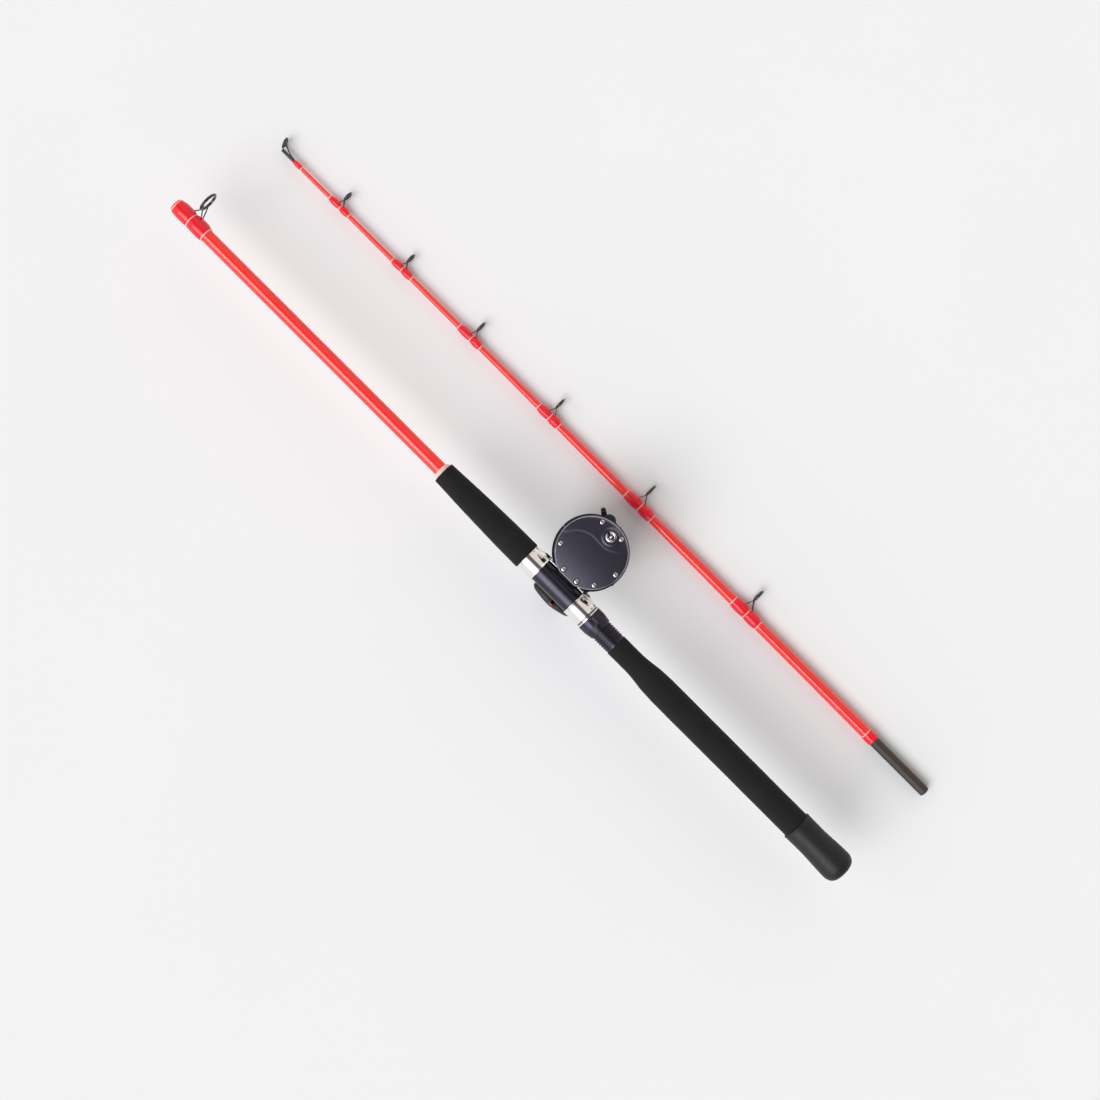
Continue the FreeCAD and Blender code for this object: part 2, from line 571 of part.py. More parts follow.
def left_side():
    """The left frame ring, the side plate over it, and the screws that hold them."""
    flat = flat_side(PLATE_FLAT, RING_INNER_W - 1, PLATE_TOP_W + 2)
    places = [around(SCREW_CIRCLE_R, a) for a in left_plate_angles()]
    ring = reel_ring(LEFT_R, RING_BORE_R, RING_INNER_W, RING_OUTER_W)
    ring = ring.cut([flat] + [reel_cylinder(1.7, RING_INNER_W - 1, RING_OUTER_W + 1, *p) for p in places])
    edge = 1.3
    plate = on_reel(corners([(RING_OUTER_W, 0), (RING_OUTER_W, LEFT_R), (PLATE_TOP_W - edge, LEFT_R),
                             (PLATE_TOP_W, LEFT_R - edge), (PLATE_TOP_W, 0)]))
    plate = plate.cut([flat, reel_cylinder(32.5, RING_OUTER_W - 1, CAVITY_TOP_W)])
    bx, by = around(CLICK_BUTTON_AT, CLICK_ANGLE)
    boss = on_reel(corners([(22.7, 0), (22.7, 8.6), (CAVITY_TOP_W, 8.6), (CAVITY_TOP_W, 0)]))
    rise = on_reel(corners([(PLATE_TOP_W - 1, 0), (PLATE_TOP_W - 1, 11.0), (PLATE_TOP_W, 11.0),
                            (PLATE_TOP_W + 0.7, 10.0), (PLATE_TOP_W + 0.7, 0)]), bx, by)
    rise = rise.common(reel_cylinder(LEFT_R - edge - 0.3, PLATE_TOP_W - 2, PLATE_TOP_W + 2))
    plate = fused([plate, boss, rise])
    slot_ends = [around(CLICK_BUTTON_AT + out, CLICK_ANGLE) for out in (-7.0, 3.0)]
    slot = bar(*slot_ends, 5.0, 24, 32)
    cutters = [slot, reel_cylinder(BEARING_R, 22, 26.8), reel_cylinder(3.5, 22, 27.6)]
    for p in places:
        cutters += [reel_cylinder(1.7, 20, 32, *p), reel_cylinder(3.5, 28.4, 32, *p)]
    return {
        "left_frame_ring": ring,
        "left_side_plate": plate.cut(cutters),
        "left_plate_screws": Part.makeCompound([plate_screw(*p) for p in places]),
    }


def plate_screw(x, y):
    """A cross-head screw, head up, through the left plate into a pillar or the foot."""
    head = on_reel(corners([(28.4, 0), (28.4, 3.1), (29.6, 3.1), (30.1, 2.6), (30.3, 0)]), x, y)
    shank = reel_cylinder(1.6, 12.0, 28.4, x, y)
    cross = [bar((x - dx, y - dy), (x + dx, y + dy), 0.7, 29.5, 31.0) for dx, dy in ((1.9, 0), (0, 1.9))]
    return fused([head, shank]).cut(cross)


def frame_between():
    """The pillars between the frame rings, and the foot that joins the rings to the rod."""
    pillars = []
    for angle in PILLAR_ANGLES:
        x, y = around(SCREW_CIRCLE_R, angle)
        post = on_reel(corners([(-RING_INNER_W, 0), (-RING_INNER_W, 3.2), (-16, 3.2), (-14, 2.7), (14, 2.7),
                                (16, 3.2), (RING_INNER_W, 3.2), (RING_INNER_W, 0)]), x, y)
        pillars.append(post.cut(reel_cylinder(1.6, 12.0, RING_INNER_W + 1, x, y)))
    stand_corner = Vector(BUTT_X + 17.0, SPOOL_Y - 17.0, AXIS_Z - RING_INNER_W)
    stand = Part.makeBox(7.5, 34.0, 2 * RING_INNER_W, stand_corner)
    places = [around(SCREW_CIRCLE_R, a) for a in FOOT_SCREW_ANGLES]
    holes = [reel_cylinder(1.6, 12.0, RING_INNER_W + 1, *p) for p in places]
    foot = fused([foot_blade(0.0), stand])
    foot = foot.cut([reel_cylinder(RING_BORE_R, -30, 30)] + holes)
    return {"frame_pillars": Part.makeCompound(pillars), "reel_foot": foot}


def right_side():
    """The right frame ring, the bridge plate, the gear housing and its screws."""
    places = [around(HOUSING_SCREW_R, a) for a in HOUSING_SCREW_ANGLES]
    crank = around(GEAR_CENTRES, CRANK_ANGLE)
    inner_r = RIGHT_R - HOUSING_WALL
    ring = reel_ring(RIGHT_R, RING_BORE_R, -RING_OUTER_W, -RING_INNER_W)
    ring = ring.cut([reel_cylinder(1.5, -30, -19, *p) for p in places])
    bridge = reel_cylinder(inner_r - 0.2, BRIDGE_W, -RING_OUTER_W)
    bush = reel_cylinder(6.5, -RING_OUTER_W, -21.2, *crank)
    posts = [reel_cylinder(1.5, -40.8, BRIDGE_W, *p) for p in yoke_posts()]
    dog_post = reel_cylinder(1.5, -28.9, BRIDGE_W, *dog_pivot())
    bridge = fused([bridge, bush, dog_post] + posts)
    shaft_hole = reel_cylinder(CRANK_SHAFT_R + SLIDE_GAP, -27, -21.6, *crank)
    screw_holes = [reel_cylinder(1.6, -27, -23, *p) for p in places]
    bridge = bridge.cut([reel_cylinder(6.0, -27, -23), shaft_hole] + screw_holes)
    floor_w = HOUSING_END_W + HOUSING_WALL
    shell = on_reel(corners([(-RING_OUTER_W, 0), (-RING_OUTER_W, RIGHT_R), (HOUSING_END_W + 2.5, RIGHT_R),
                             (HOUSING_END_W + 0.7, RIGHT_R - 0.8), (HOUSING_END_W, RIGHT_R - 2.5),
                             (HOUSING_END_W, 0)]))
    shell = shell.cut(reel_cylinder(inner_r, floor_w, -RING_OUTER_W + 1))
    ear = reel_cylinder(8.0, HOUSING_END_W + 0.6, -31.0, *around(43.0, 14.6))
    ear = ear.cut(reel_cylinder(inner_r, floor_w, -20))
    columns = [reel_cylinder(3.1, floor_w, BRIDGE_W, *p) for p in places]
    bosses = [reel_cylinder(8.6, floor_w, -38.5), reel_cylinder(10.4, floor_w, -39.8, *crank),
              reel_cylinder(5.0, floor_w, -37.0, *LEVER_HUB)]
    shell = fused([shell, ear] + columns + bosses)
    shell = shell.cut([reel_cylinder(BEARING_R, -42.3, -38), reel_cylinder(8.0, -43.0, -39, *crank),
                       reel_cylinder(6.0, -46, -39, *crank), reel_cylinder(3.05, -46, -36, *LEVER_HUB)]
                      + [reel_cylinder(1.6, -46, -20, *p) for p in places])
    screws = []
    for p in places:
        head = on_reel(corners([(HOUSING_END_W, 0), (HOUSING_END_W, 2.9), (-45.2, 2.7), (-45.7, 0)]), *p)
        screws.append(fused([head, reel_cylinder(1.5, HOUSING_END_W, -20.5, *p)]))
    return {
        "right_frame_ring": ring,
        "bridge_plate": bridge,
        "right_side_plate": shell,
        "right_plate_screws": Part.makeCompound(screws),
    }


def reel_bearings():
    """Ball bearings of the spool's two ends and of the crank, each as a closed ring."""
    crank = around(GEAR_CENTRES, CRANK_ANGLE)
    shaft_hole = SPOOL_SHAFT_R + SLIDE_GAP
    return Part.makeCompound([
        reel_ring(BEARING_R, shaft_hole, 22.9, 26.8),
        reel_ring(BEARING_R, shaft_hole, -42.3, -38.6),
        reel_ring(8.0, 5.0 + SLIDE_GAP, -43.0, -39.9, *crank),
    ])


# ---------------------------------------------------------------- reel: spool and clicker
def spool_parts():
    """The spool, its shaft with the driving cross pin, and the click gear on its left face."""
    left_half = [(6.0, 13.0), (4.5, 14.5), (2.2, FLANGE_R), (0.0, FLANGE_R), (0.0, SPOOL_SHAFT_R)]
    outline = [(FLANGE_W - inward, r) for inward, r in left_half]
    outline += [(inward - FLANGE_W, r) for inward, r in reversed(left_half)]
    spool = on_reel(corners(outline))
    shaft = reel_cylinder(SPOOL_SHAFT_R, -42.0, 27.0)
    pin = Part.makeCylinder(1.2, 8.4, Vector(SPOOL_X - 4.2, SPOOL_Y, AXIS_Z - 27.2), Vector(1, 0, 0))
    gear = saw_teeth(CLICK_TEETH, 11.5, 9.9, FLANGE_W + 0.2, 21.4, 0, 0, CLICK_ANGLE, 0.4)
    hub = reel_cylinder(6.0, FLANGE_W, FLANGE_W + 0.3)
    gear = fused([gear, hub]).cut(reel_cylinder(SPOOL_SHAFT_R, 15, 25))
    return {"spool": spool, "spool_shaft": fused([shaft, pin]), "click_gear": gear}


def clicker_parts():
    """The click button on the left plate, the pawl on its stem, and the hairpin spring beside it."""
    bx, by = around(CLICK_BUTTON_AT, CLICK_ANGLE)
    cap = on_reel(corners([
        (30.9, 0), (30.9, 6.2), (32.6, 6.2), (33.3, 5.6), (33.3, 4.2), (31.9, 3.6), (31.9, 1.6), (33.0, 1.2),
        (33.0, 0)]), bx, by)
    near, far = around(CLICK_BUTTON_AT - 2.2, CLICK_ANGLE), around(CLICK_BUTTON_AT + 2.2, CLICK_ANGLE)
    stem = bar(near, far, 4.4, 21.6, 31.2)
    turn = math.radians(CLICK_ANGLE)

    def along(r, side):
        return r * math.cos(turn) - side * math.sin(turn), r * math.sin(turn) + side * math.cos(turn)

    half_pawl = [(31.0, 3.2), (19.0, 3.2), (14.2, 0.45)]
    pawl = prism([along(r, side) for r, side in half_pawl]
                 + [along(r, -side) for r, side in reversed(half_pawl)], 19.9, 21.6)
    path = [along(19.0, 2.9), along(31.6, 2.9), along(31.6, -2.9), along(19.0, -2.9)]
    points = [Vector(SPOOL_X + x, SPOOL_Y + y, AXIS_Z + 26.7) for x, y in path]
    spring = bent_wire(points, 0.4, 1.6)
    return {"click_button": fused([cap, stem]), "click_pawl": pawl, "click_spring": spring}


# ---------------------------------------------------------------- reel: gears, drag and crank
def crank_parts():
    """The drive shaft and everything that turns with it, out to the crank arm and the knob's rivet."""
    c = around(GEAR_CENTRES, CRANK_ANGLE)
    r = CRANK_SHAFT_R
    shaft = reel_cylinder(r, -61.0, -21.8, *c)
    bore = reel_cylinder(r, -70, -20, *c)
    ratchet = saw_teeth(RATCHET_TEETH, 11.5, 9.6, -28.2, -26.4, c[0], c[1], RATCHET_GAP_ANGLE, 0.0)
    pinion_way = CRANK_ANGLE + 180.0
    gear = toothed(MAIN_TEETH, GEAR_MODULE, GEAR_LOW_W, GEAR_HIGH_W, c[0], c[1], pinion_way)
    gear = fused([gear, reel_cylinder(9.0, GEAR_HIGH_W, -28.6, *c)])
    gear = gear.cut([bore, reel_cylinder(14.2, GEAR_LOW_W - 1, -32.5, *c)])
    fibre = [reel_ring(outer, r, low, high, *c)
             for outer, low, high in ((8.0, -28.6, -28.2), (14.0, -33.3, -32.5), (14.0, -35.0, -34.2))]
    steel = [reel_ring(13.8, r, -34.2, -33.3, *c), reel_ring(13.8, r, -36.2, -35.0, *c)]
    sleeve = reel_ring(5.0, r, -47.0, -36.2, *c)
    kx, ky = c[0] + CRANK_REACH.x, c[1] + CRANK_REACH.y
    unit = Vector(CRANK_REACH).normalize()
    across = Vector(-unit.y, unit.x, 0)
    outline = [(c[0] + across.x * 8.0, c[1] + across.y * 8.0), (kx + across.x * 5.2, ky + across.y * 5.2),
               (kx - across.x * 5.2, ky - across.y * 5.2), (c[0] - across.x * 8.0, c[1] - across.y * 8.0)]
    hub, eye = reel_cylinder(9.5, -56.3, -52.5, *c), reel_cylinder(6.6, -56.3, -52.8, kx, ky)
    arm = fused([prism(outline, -56.3, -52.8), hub, eye])
    arm = arm.cut([bore, reel_cylinder(2.5, -60, -50, kx, ky)])
    flats = [around(8.4, 60 * k + 20) for k in range(6)]
    nut = prism([(c[0] + x, c[1] + y) for x, y in flats], -60.2, -56.3).cut(bore)
    rivet = on_reel(corners([(-51.0, 0), (-51.3, 2.6), (-52.0, 3.2), (-52.0, 5.0), (-52.8, 5.2), (-52.8, 2.5),
                             (-85.8, 2.5), (-85.8, 4.4), (-87.2, 4.4), (-87.2, 0)]), kx, ky)
    return {
        "drive_shaft": shaft, "ratchet_wheel": ratchet.cut(bore), "main_gear": gear,
        "drag_washers": Part.makeCompound(fibre), "drag_plates": Part.makeCompound(steel),
        "spacer_sleeve": sleeve, "crank_arm": arm, "crank_nut": nut, "knob_rivet": rivet,
    }


def star_wheel():
    """The five-armed star that tightens the drag."""
    c = around(GEAR_CENTRES, CRANK_ANGLE)
    pieces = [reel_cylinder(12.0, -51.0, -47.4, *c), reel_cylinder(8.0, -52.2, -47.2, *c)]
    for k in range(5):
        dx, dy = around(24.0, 72 * k + 60)
        end = (c[0] + dx, c[1] + dy)
        pieces += [bar(c, end, 6.4, -50.6, -47.8), reel_cylinder(4.2, -50.6, -47.8, *end)]
    return fused(pieces).cut(reel_cylinder(CRANK_SHAFT_R + SLIDE_GAP, -60, -40, *c))


def crank_knob():
    """The paddle knob: round at its front end, narrowing to the rear, hollow for the rivet."""
    c = around(GEAR_CENTRES, CRANK_ANGLE)
    kx, ky = SPOOL_X + c[0] + CRANK_REACH.x, SPOOL_Y + c[1] + CRANK_REACH.y
    base = AXIS_Z - 90.0

    def at(along, side, up):
        return Vector(kx + side, ky + along, base + up)

    half_widths = [(31.0, 0.0), (27.0, 4.2), (12.0, 6.4), (0.0, 6.8), (-12.0, 4.6), (-24.5, 0.9)]
    plan = [at(along, side, 0) for along, side in half_widths]
    mirror = [at(along, -side, 0) for along, side in reversed(half_widths)]
    outline = Part.Wire([curve_through(plan), Part.makeLine(plan[-1], mirror[0]), curve_through(mirror)])
    body = Part.Face(outline).extrude(Z_DIR * 28.0)
    top = [at(32.0, -10, 20.0), at(10.0, -10, 28.0), at(-8.0, -10, 28.0), at(-26.0, -10, 16.0)]
    under = [at(-26.0, -10, 8.0), at(-8.0, -10, 0.0), at(10.0, -10, 0.0), at(32.0, -10, 6.0)]
    side = Part.Wire([curve_through(top), Part.makeLine(top[-1], under[0]), curve_through(under),
                      Part.makeLine(under[-1], top[0])])
    body = body.common(Part.Face(side).extrude(Vector(20, 0, 0)))
    foot = Part.makeCylinder(6.6, 10.0, Vector(kx, ky, base), Z_DIR)
    neck = Part.makeCylinder(6.0, 13.0, Vector(kx, ky, base + 20.0), Z_DIR)
    hole = Part.makeCylinder(2.5 + 1.6 * SLIDE_GAP, 60.0, Vector(kx, ky, base - 5.0), Z_DIR)
    pocket = Part.makeCylinder(5.0, 4.5, Vector(kx, ky, base - 0.01), Z_DIR)
    return fused([body, foot, neck]).cut([hole, pocket])


def crank_point(radius, angle):
    """The point at a radius and an angle from the crank's axis."""
    c, d = around(GEAR_CENTRES, CRANK_ANGLE), around(radius, angle)
    return c[0] + d[0], c[1] + d[1]


def dog_pivot():
    """Where the anti-reverse dog pivots on the bridge."""
    return crank_point(DOG_PIVOT_AT, DOG_PIVOT_ANGLE)


def anti_reverse_dog():
    """The dog, lifted clear of the ratchet. Its heel bends its tip in towards the wheel."""
    low, high = -28.2, -26.4
    p = dog_pivot()
    heel = crank_point(14.0, RATCHET_GAP_ANGLE - 11.0)
    tip = crank_point(10.4, RATCHET_GAP_ANGLE)
    pieces = [reel_cylinder(3.0, low, high, *p), bar(p, heel, 3.2, low, high), bar(heel, tip, 1.4, low, high),
              reel_cylinder(1.6, low, high, *heel)]
    dog = fused(pieces).cut(reel_cylinder(1.5 + SLIDE_GAP, -30, -25, *p))
    dog.rotate(Vector(SPOOL_X + p[0], SPOOL_Y + p[1], 0), Z_DIR, -DOG_LIFT)
    return dog


def pinion():
    """The pinion: a slotted collar for the cross pin, a groove for the yoke, and the teeth."""
    body = on_reel(corners([
        (-26.4, 0), (-26.4, 5.4), (-28.8, 5.4), (-28.8, 3.85), (-30.6, 3.85), (-30.6, 0)]))
    pinion_phase = CRANK_ANGLE + 180.0 / PINION_TEETH
    teeth = toothed(PINION_TEETH, GEAR_MODULE, -35.4, -30.6, 0, 0, pinion_phase)
    slot = Part.makeBox(12.0, 2.7, 2.3, Vector(SPOOL_X - 6.0, SPOOL_Y - 1.35, AXIS_Z - 28.5))
    return fused([body, teeth]).cut([slot, reel_cylinder(SPOOL_SHAFT_R + 1.6 * SLIDE_GAP, -40, -20)])


def yoke_posts():
    """The two posts that the yoke slides on, on the far side of the pinion from the main gear."""
    away = around(5.0, CRANK_ANGLE + 180.0)
    out = around(13.0, CRANK_ANGLE - 90.0)
    return [(away[0] + out[0], away[1] + out[1]), (away[0] - out[0], away[1] - out[1])]


def yoke():
    """The yoke that lifts the pinion off the cross pin: a half ring, two eyes and a tail."""
    low, high = -30.4, -29.0
    away = around(1.0, CRANK_ANGLE + 180.0)
    side = around(1.0, CRANK_ANGLE + 90.0)

    def at(out, across):
        return out * away[0] + across * side[0], out * away[1] + across * side[1]

    open_side = prism([at(0, -12), at(0, 12), at(-12, 12), at(-12, -12)], low - 1, high + 1)
    half_ring = reel_ring(8.0, 4.1, low, high).cut(open_side)
    cross = bar(at(5.0, -13.0), at(5.0, 13.0), 5.0, low, high)
    tail = bar((5.0, 4.6), (25.0, 5.4), 5.6, low, high)
    eyes = [reel_cylinder(3.2, low, high, *p) for p in yoke_posts()]
    plate = fused([half_ring, cross, tail] + eyes)
    return plate.cut([reel_cylinder(4.1, low - 1, high + 1)]
                     + [reel_cylinder(1.5 + SLIDE_GAP, low - 1, high + 1, *p) for p in yoke_posts()])


def yoke_springs():
    """The two coil springs that press the yoke towards the bridge."""
    springs = []
    for x, y in yoke_posts():
        height = 9.4
        helix = Part.makeHelix(height / 5, height, 2.3)
        helix.translate(Vector(SPOOL_X + x, SPOOL_Y + y, AXIS_Z - 40.4))
        start = Vector(SPOOL_X + x + 2.3, SPOOL_Y + y, AXIS_Z - 40.4)
        section = Part.Wire([Part.makeCircle(0.3, start, Y_DIR)])
        springs.append(Part.Wire(helix).makePipeShell([section], True, True))
    return Part.makeCompound(springs)


def lever_parts():
    """The free-spool lever outside the housing, and the cam on its shaft inside."""
    hx, hy = LEVER_HUB
    sx, sy = LEVER_STUB
    hub = reel_cylinder(7.5, -47.8, -44.3, hx, hy)
    arm = bar((hx, hy), (sx, sy), 6.0, -47.8, -44.6)
    stub = reel_cylinder(2.9, -47.8, -34.0, sx, sy)
    lever = fused([hub, arm, stub]).cut(reel_cylinder(3.0, -50, -40, hx, hy))
    shaft = reel_cylinder(3.0, -47.6, -26.3, hx, hy)
    lead = 199.9 + 15.0
    along = around(1.0, lead)
    back = around(1.0, lead + 90.0)

    def at(out, behind):
        return hx + out * along[0] + behind * back[0], hy + out * along[1] + behind * back[1]

    plate = prism([at(0, -0.2), at(17.0, 0.0), at(17.0, 13.0), at(0, 3.0)], -28.4, -26.3)
    plate = plate.common(reel_cylinder(17.5, -30, -20, hx, hy))
    rise = YOKE_LIFT - 0.4
    front, back_end = at(8.5, 0.0), at(8.5, 12.0)
    wedge_side = [Vector(SPOOL_X + x, SPOOL_Y + y, AXIS_Z + w)
                  for (x, y), w in ((front, -28.4), (back_end, -28.4 - rise), (back_end, -28.4))]
    wedge = Part.Face(Part.Wire(edges_through(wedge_side, True))).extrude(Vector(along[0], along[1], 0) * 8.3)
    wedge = wedge.common(reel_cylinder(17.5, -35, -20, hx, hy))
    return {"freespool_lever": lever, "eccentric_cam": fused([shaft, plate, wedge])}


# ---------------------------------------------------------------- build and export
def main():
    """Build every sub-part and write one STEP file for each."""
    os.makedirs("parts", exist_ok=True)
    blank, tip = blank_core(BUTT_X, AXIS_Z, BUTT_TAPER), blank_core(TIP_X, TIP_Z, TIP_TAPER)
    nodes = {"butt_blank": butt_blank(), "tip_blank": tip_blank(), "spigot": spigot()}
    for group in (
        butt_guide_parts(blank), tip_guide_parts(tip), grips(blank), seat_parts(blank), left_side(),
        frame_between(), right_side(), spool_parts(), clicker_parts(), crank_parts(), lever_parts(),
    ):
        nodes.update(group)
    nodes["reel_bearings"] = reel_bearings()
    nodes["star_wheel"] = star_wheel()
    nodes["crank_knob"] = crank_knob()
    nodes["anti_reverse_dog"] = anti_reverse_dog()
    nodes["pinion"] = pinion()
    nodes["yoke"] = yoke()
    nodes["yoke_springs"] = yoke_springs()
    for name, shape in nodes.items():
        shape.exportStep(f"parts/{name}.step")
        print(f"{name}: {len(shape.Solids)} solids, {shape.Volume:.0f} mm3, valid {shape.isValid()}")
    print(f"{len(nodes)} nodes")


main()
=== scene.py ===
"""The looks of a two-piece boat fishing rod and its star-drag reel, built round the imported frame.

The rod's two sections lie along Y with their tips towards +Y, and the reel's spool turns about a
vertical axis. Each class below makes one sub-assembly: it holds its sizes in millimetres, builds
its meshes in the frame's own coordinates and says which body each piece rides on.
"""

import json
import logging
import math
from dataclasses import dataclass, field
from enum import Enum
from typing import Callable, Optional, Sequence

import bmesh
import bpy
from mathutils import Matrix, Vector

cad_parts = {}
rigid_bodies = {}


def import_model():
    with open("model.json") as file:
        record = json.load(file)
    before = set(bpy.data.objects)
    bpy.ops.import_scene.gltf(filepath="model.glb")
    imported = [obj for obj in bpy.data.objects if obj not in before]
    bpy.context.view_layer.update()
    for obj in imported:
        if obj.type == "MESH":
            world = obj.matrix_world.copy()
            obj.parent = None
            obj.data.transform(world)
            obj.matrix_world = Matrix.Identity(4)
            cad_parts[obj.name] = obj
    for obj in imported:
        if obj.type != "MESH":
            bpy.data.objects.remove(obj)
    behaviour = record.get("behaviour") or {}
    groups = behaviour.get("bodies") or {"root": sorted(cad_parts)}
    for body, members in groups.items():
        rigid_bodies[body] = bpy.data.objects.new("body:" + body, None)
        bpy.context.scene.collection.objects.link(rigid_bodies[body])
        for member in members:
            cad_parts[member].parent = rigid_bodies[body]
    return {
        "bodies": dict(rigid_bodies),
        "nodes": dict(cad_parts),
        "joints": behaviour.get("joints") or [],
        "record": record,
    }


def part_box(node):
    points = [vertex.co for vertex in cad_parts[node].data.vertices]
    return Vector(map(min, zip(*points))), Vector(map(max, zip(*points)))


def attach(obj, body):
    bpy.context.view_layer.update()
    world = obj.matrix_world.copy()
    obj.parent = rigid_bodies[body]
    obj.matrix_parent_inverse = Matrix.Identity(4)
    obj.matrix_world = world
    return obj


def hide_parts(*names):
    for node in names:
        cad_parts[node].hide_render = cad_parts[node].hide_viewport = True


MM = 0.001
LOG = logging.getLogger("rod_and_reel")

Colour = tuple[float, float, float]
Profile = Sequence[tuple[float, float]]


# ---------------------------------------------------------------- shapes
@dataclass(frozen=True)
class Axis:
    """An axis that pieces are turned about, with a direction where the angle is zero."""

    base: Vector
    along: Vector
    out: Vector

    def at(self, along: float, radius: float, turn: float = 0.0) -> Vector:
        """The point at a distance along the axis, a radius and an angle in radians, sizes in mm."""
        side = self.along.cross(self.out)
        spoke = self.out * math.cos(turn) + side * math.sin(turn)
        return self.base + (self.along * along + spoke * radius) * MM

    def moved(self, x: float, y: float) -> "Axis":
        """The parallel axis that is x and y millimetres away in the frame."""
        return Axis(self.base + Vector((x, y, 0.0)) * MM, self.along, self.out)


def smooth(value: float, low: float, high: float) -> float:
    """A smooth step from 0 at low to 1 at high."""
    t = min(1.0, max(0.0, (value - low) / (high - low)))
    return t * t * (3.0 - 2.0 * t)


def spread(low: float, high: float, count: int) -> list[float]:
    """Evenly spaced values from low to high, both ends included."""
    return [low + (high - low) * k / (count - 1) for k in range(count)]


def softened(profile: Profile, radius: float, steps: int = 4) -> list[tuple[float, float]]:
    """A profile with its corners rounded.

    Args:
        profile: The corner points as (along, radius) in mm.
        radius: How far from a corner its round begins, in mm.
        steps: The number of stretches in each round.

    Returns:
        The points of the rounded profile.
    """
    points = [Vector(p) for p in profile]
    made = [tuple(points[0])]
    for before, corner, after in zip(points, points[1:], points[2:]):
        a = corner + (before - corner).normalized() * min(radius, (before - corner).length / 2)
        b = corner + (after - corner).normalized() * min(radius, (after - corner).length / 2)
        for k in range(steps + 1):
            t = k / steps
            made.append(tuple(a * (1 - t) ** 2 + corner * 2 * t * (1 - t) + b * t ** 2))
    made.append(tuple(points[-1]))
    return made


def eased(points: Sequence[Vector], steps: int = 8) -> list[Vector]:
    """A smooth path through points, as a Catmull-Rom curve.

    Args:
        points: The points that it passes through.
        steps: The number of stretches between two points.

    Returns:
        The points of the path.
    """
    ends = [points[0] * 2 - points[1], *points, points[-1] * 2 - points[-2]]
    path = []
    for p0, p1, p2, p3 in zip(ends, ends[1:], ends[2:], ends[3:]):
        for k in range(steps):
            t = k / steps
            path.append(0.5 * (p1 * 2 + (p2 - p0) * t + (p0 * 2 - p1 * 5 + p2 * 4 - p3) * t * t
                               + (p1 * 3 - p0 - p2 * 3 + p3) * t ** 3))
    path.append(points[-1].copy())
    return path


def squared(sides: int, across: float, up: float) -> list[tuple[float, float]]:
    """A unit loop between a circle and a square.

    Args:
        sides: The number of points.
        across: The power of the first coordinate. The lower it is, the fuller the corners.
        up: The power of the second coordinate.

    Returns:
        The points, each a pair from -1 to 1.
    """
    turns = [2 * math.pi * k / sides for k in range(sides)]
    waves = [(math.cos(turn), math.sin(turn)) for turn in turns]
    return [(math.copysign(abs(c) ** across, c), math.copysign(abs(s) ** up, s)) for c, s in waves]


def steady(radius: float) -> Callable[[float], float]:
    """A radius that is the same at every angle."""
    return lambda turn: radius


def linked(name: str, data: bpy.types.ID) -> bpy.types.Object:
    """A new object in the scene."""
    made = bpy.data.objects.new(name, data)
    bpy.context.scene.collection.objects.link(made)
    return made


def shade(data: bpy.types.Mesh, crease: float) -> None:
    """Shade a mesh smooth, apart from the edges that turn more than crease degrees."""
    data.polygons.foreach_set("use_smooth", [True] * len(data.polygons))
    data.set_sharp_from_angle(angle=math.radians(crease))


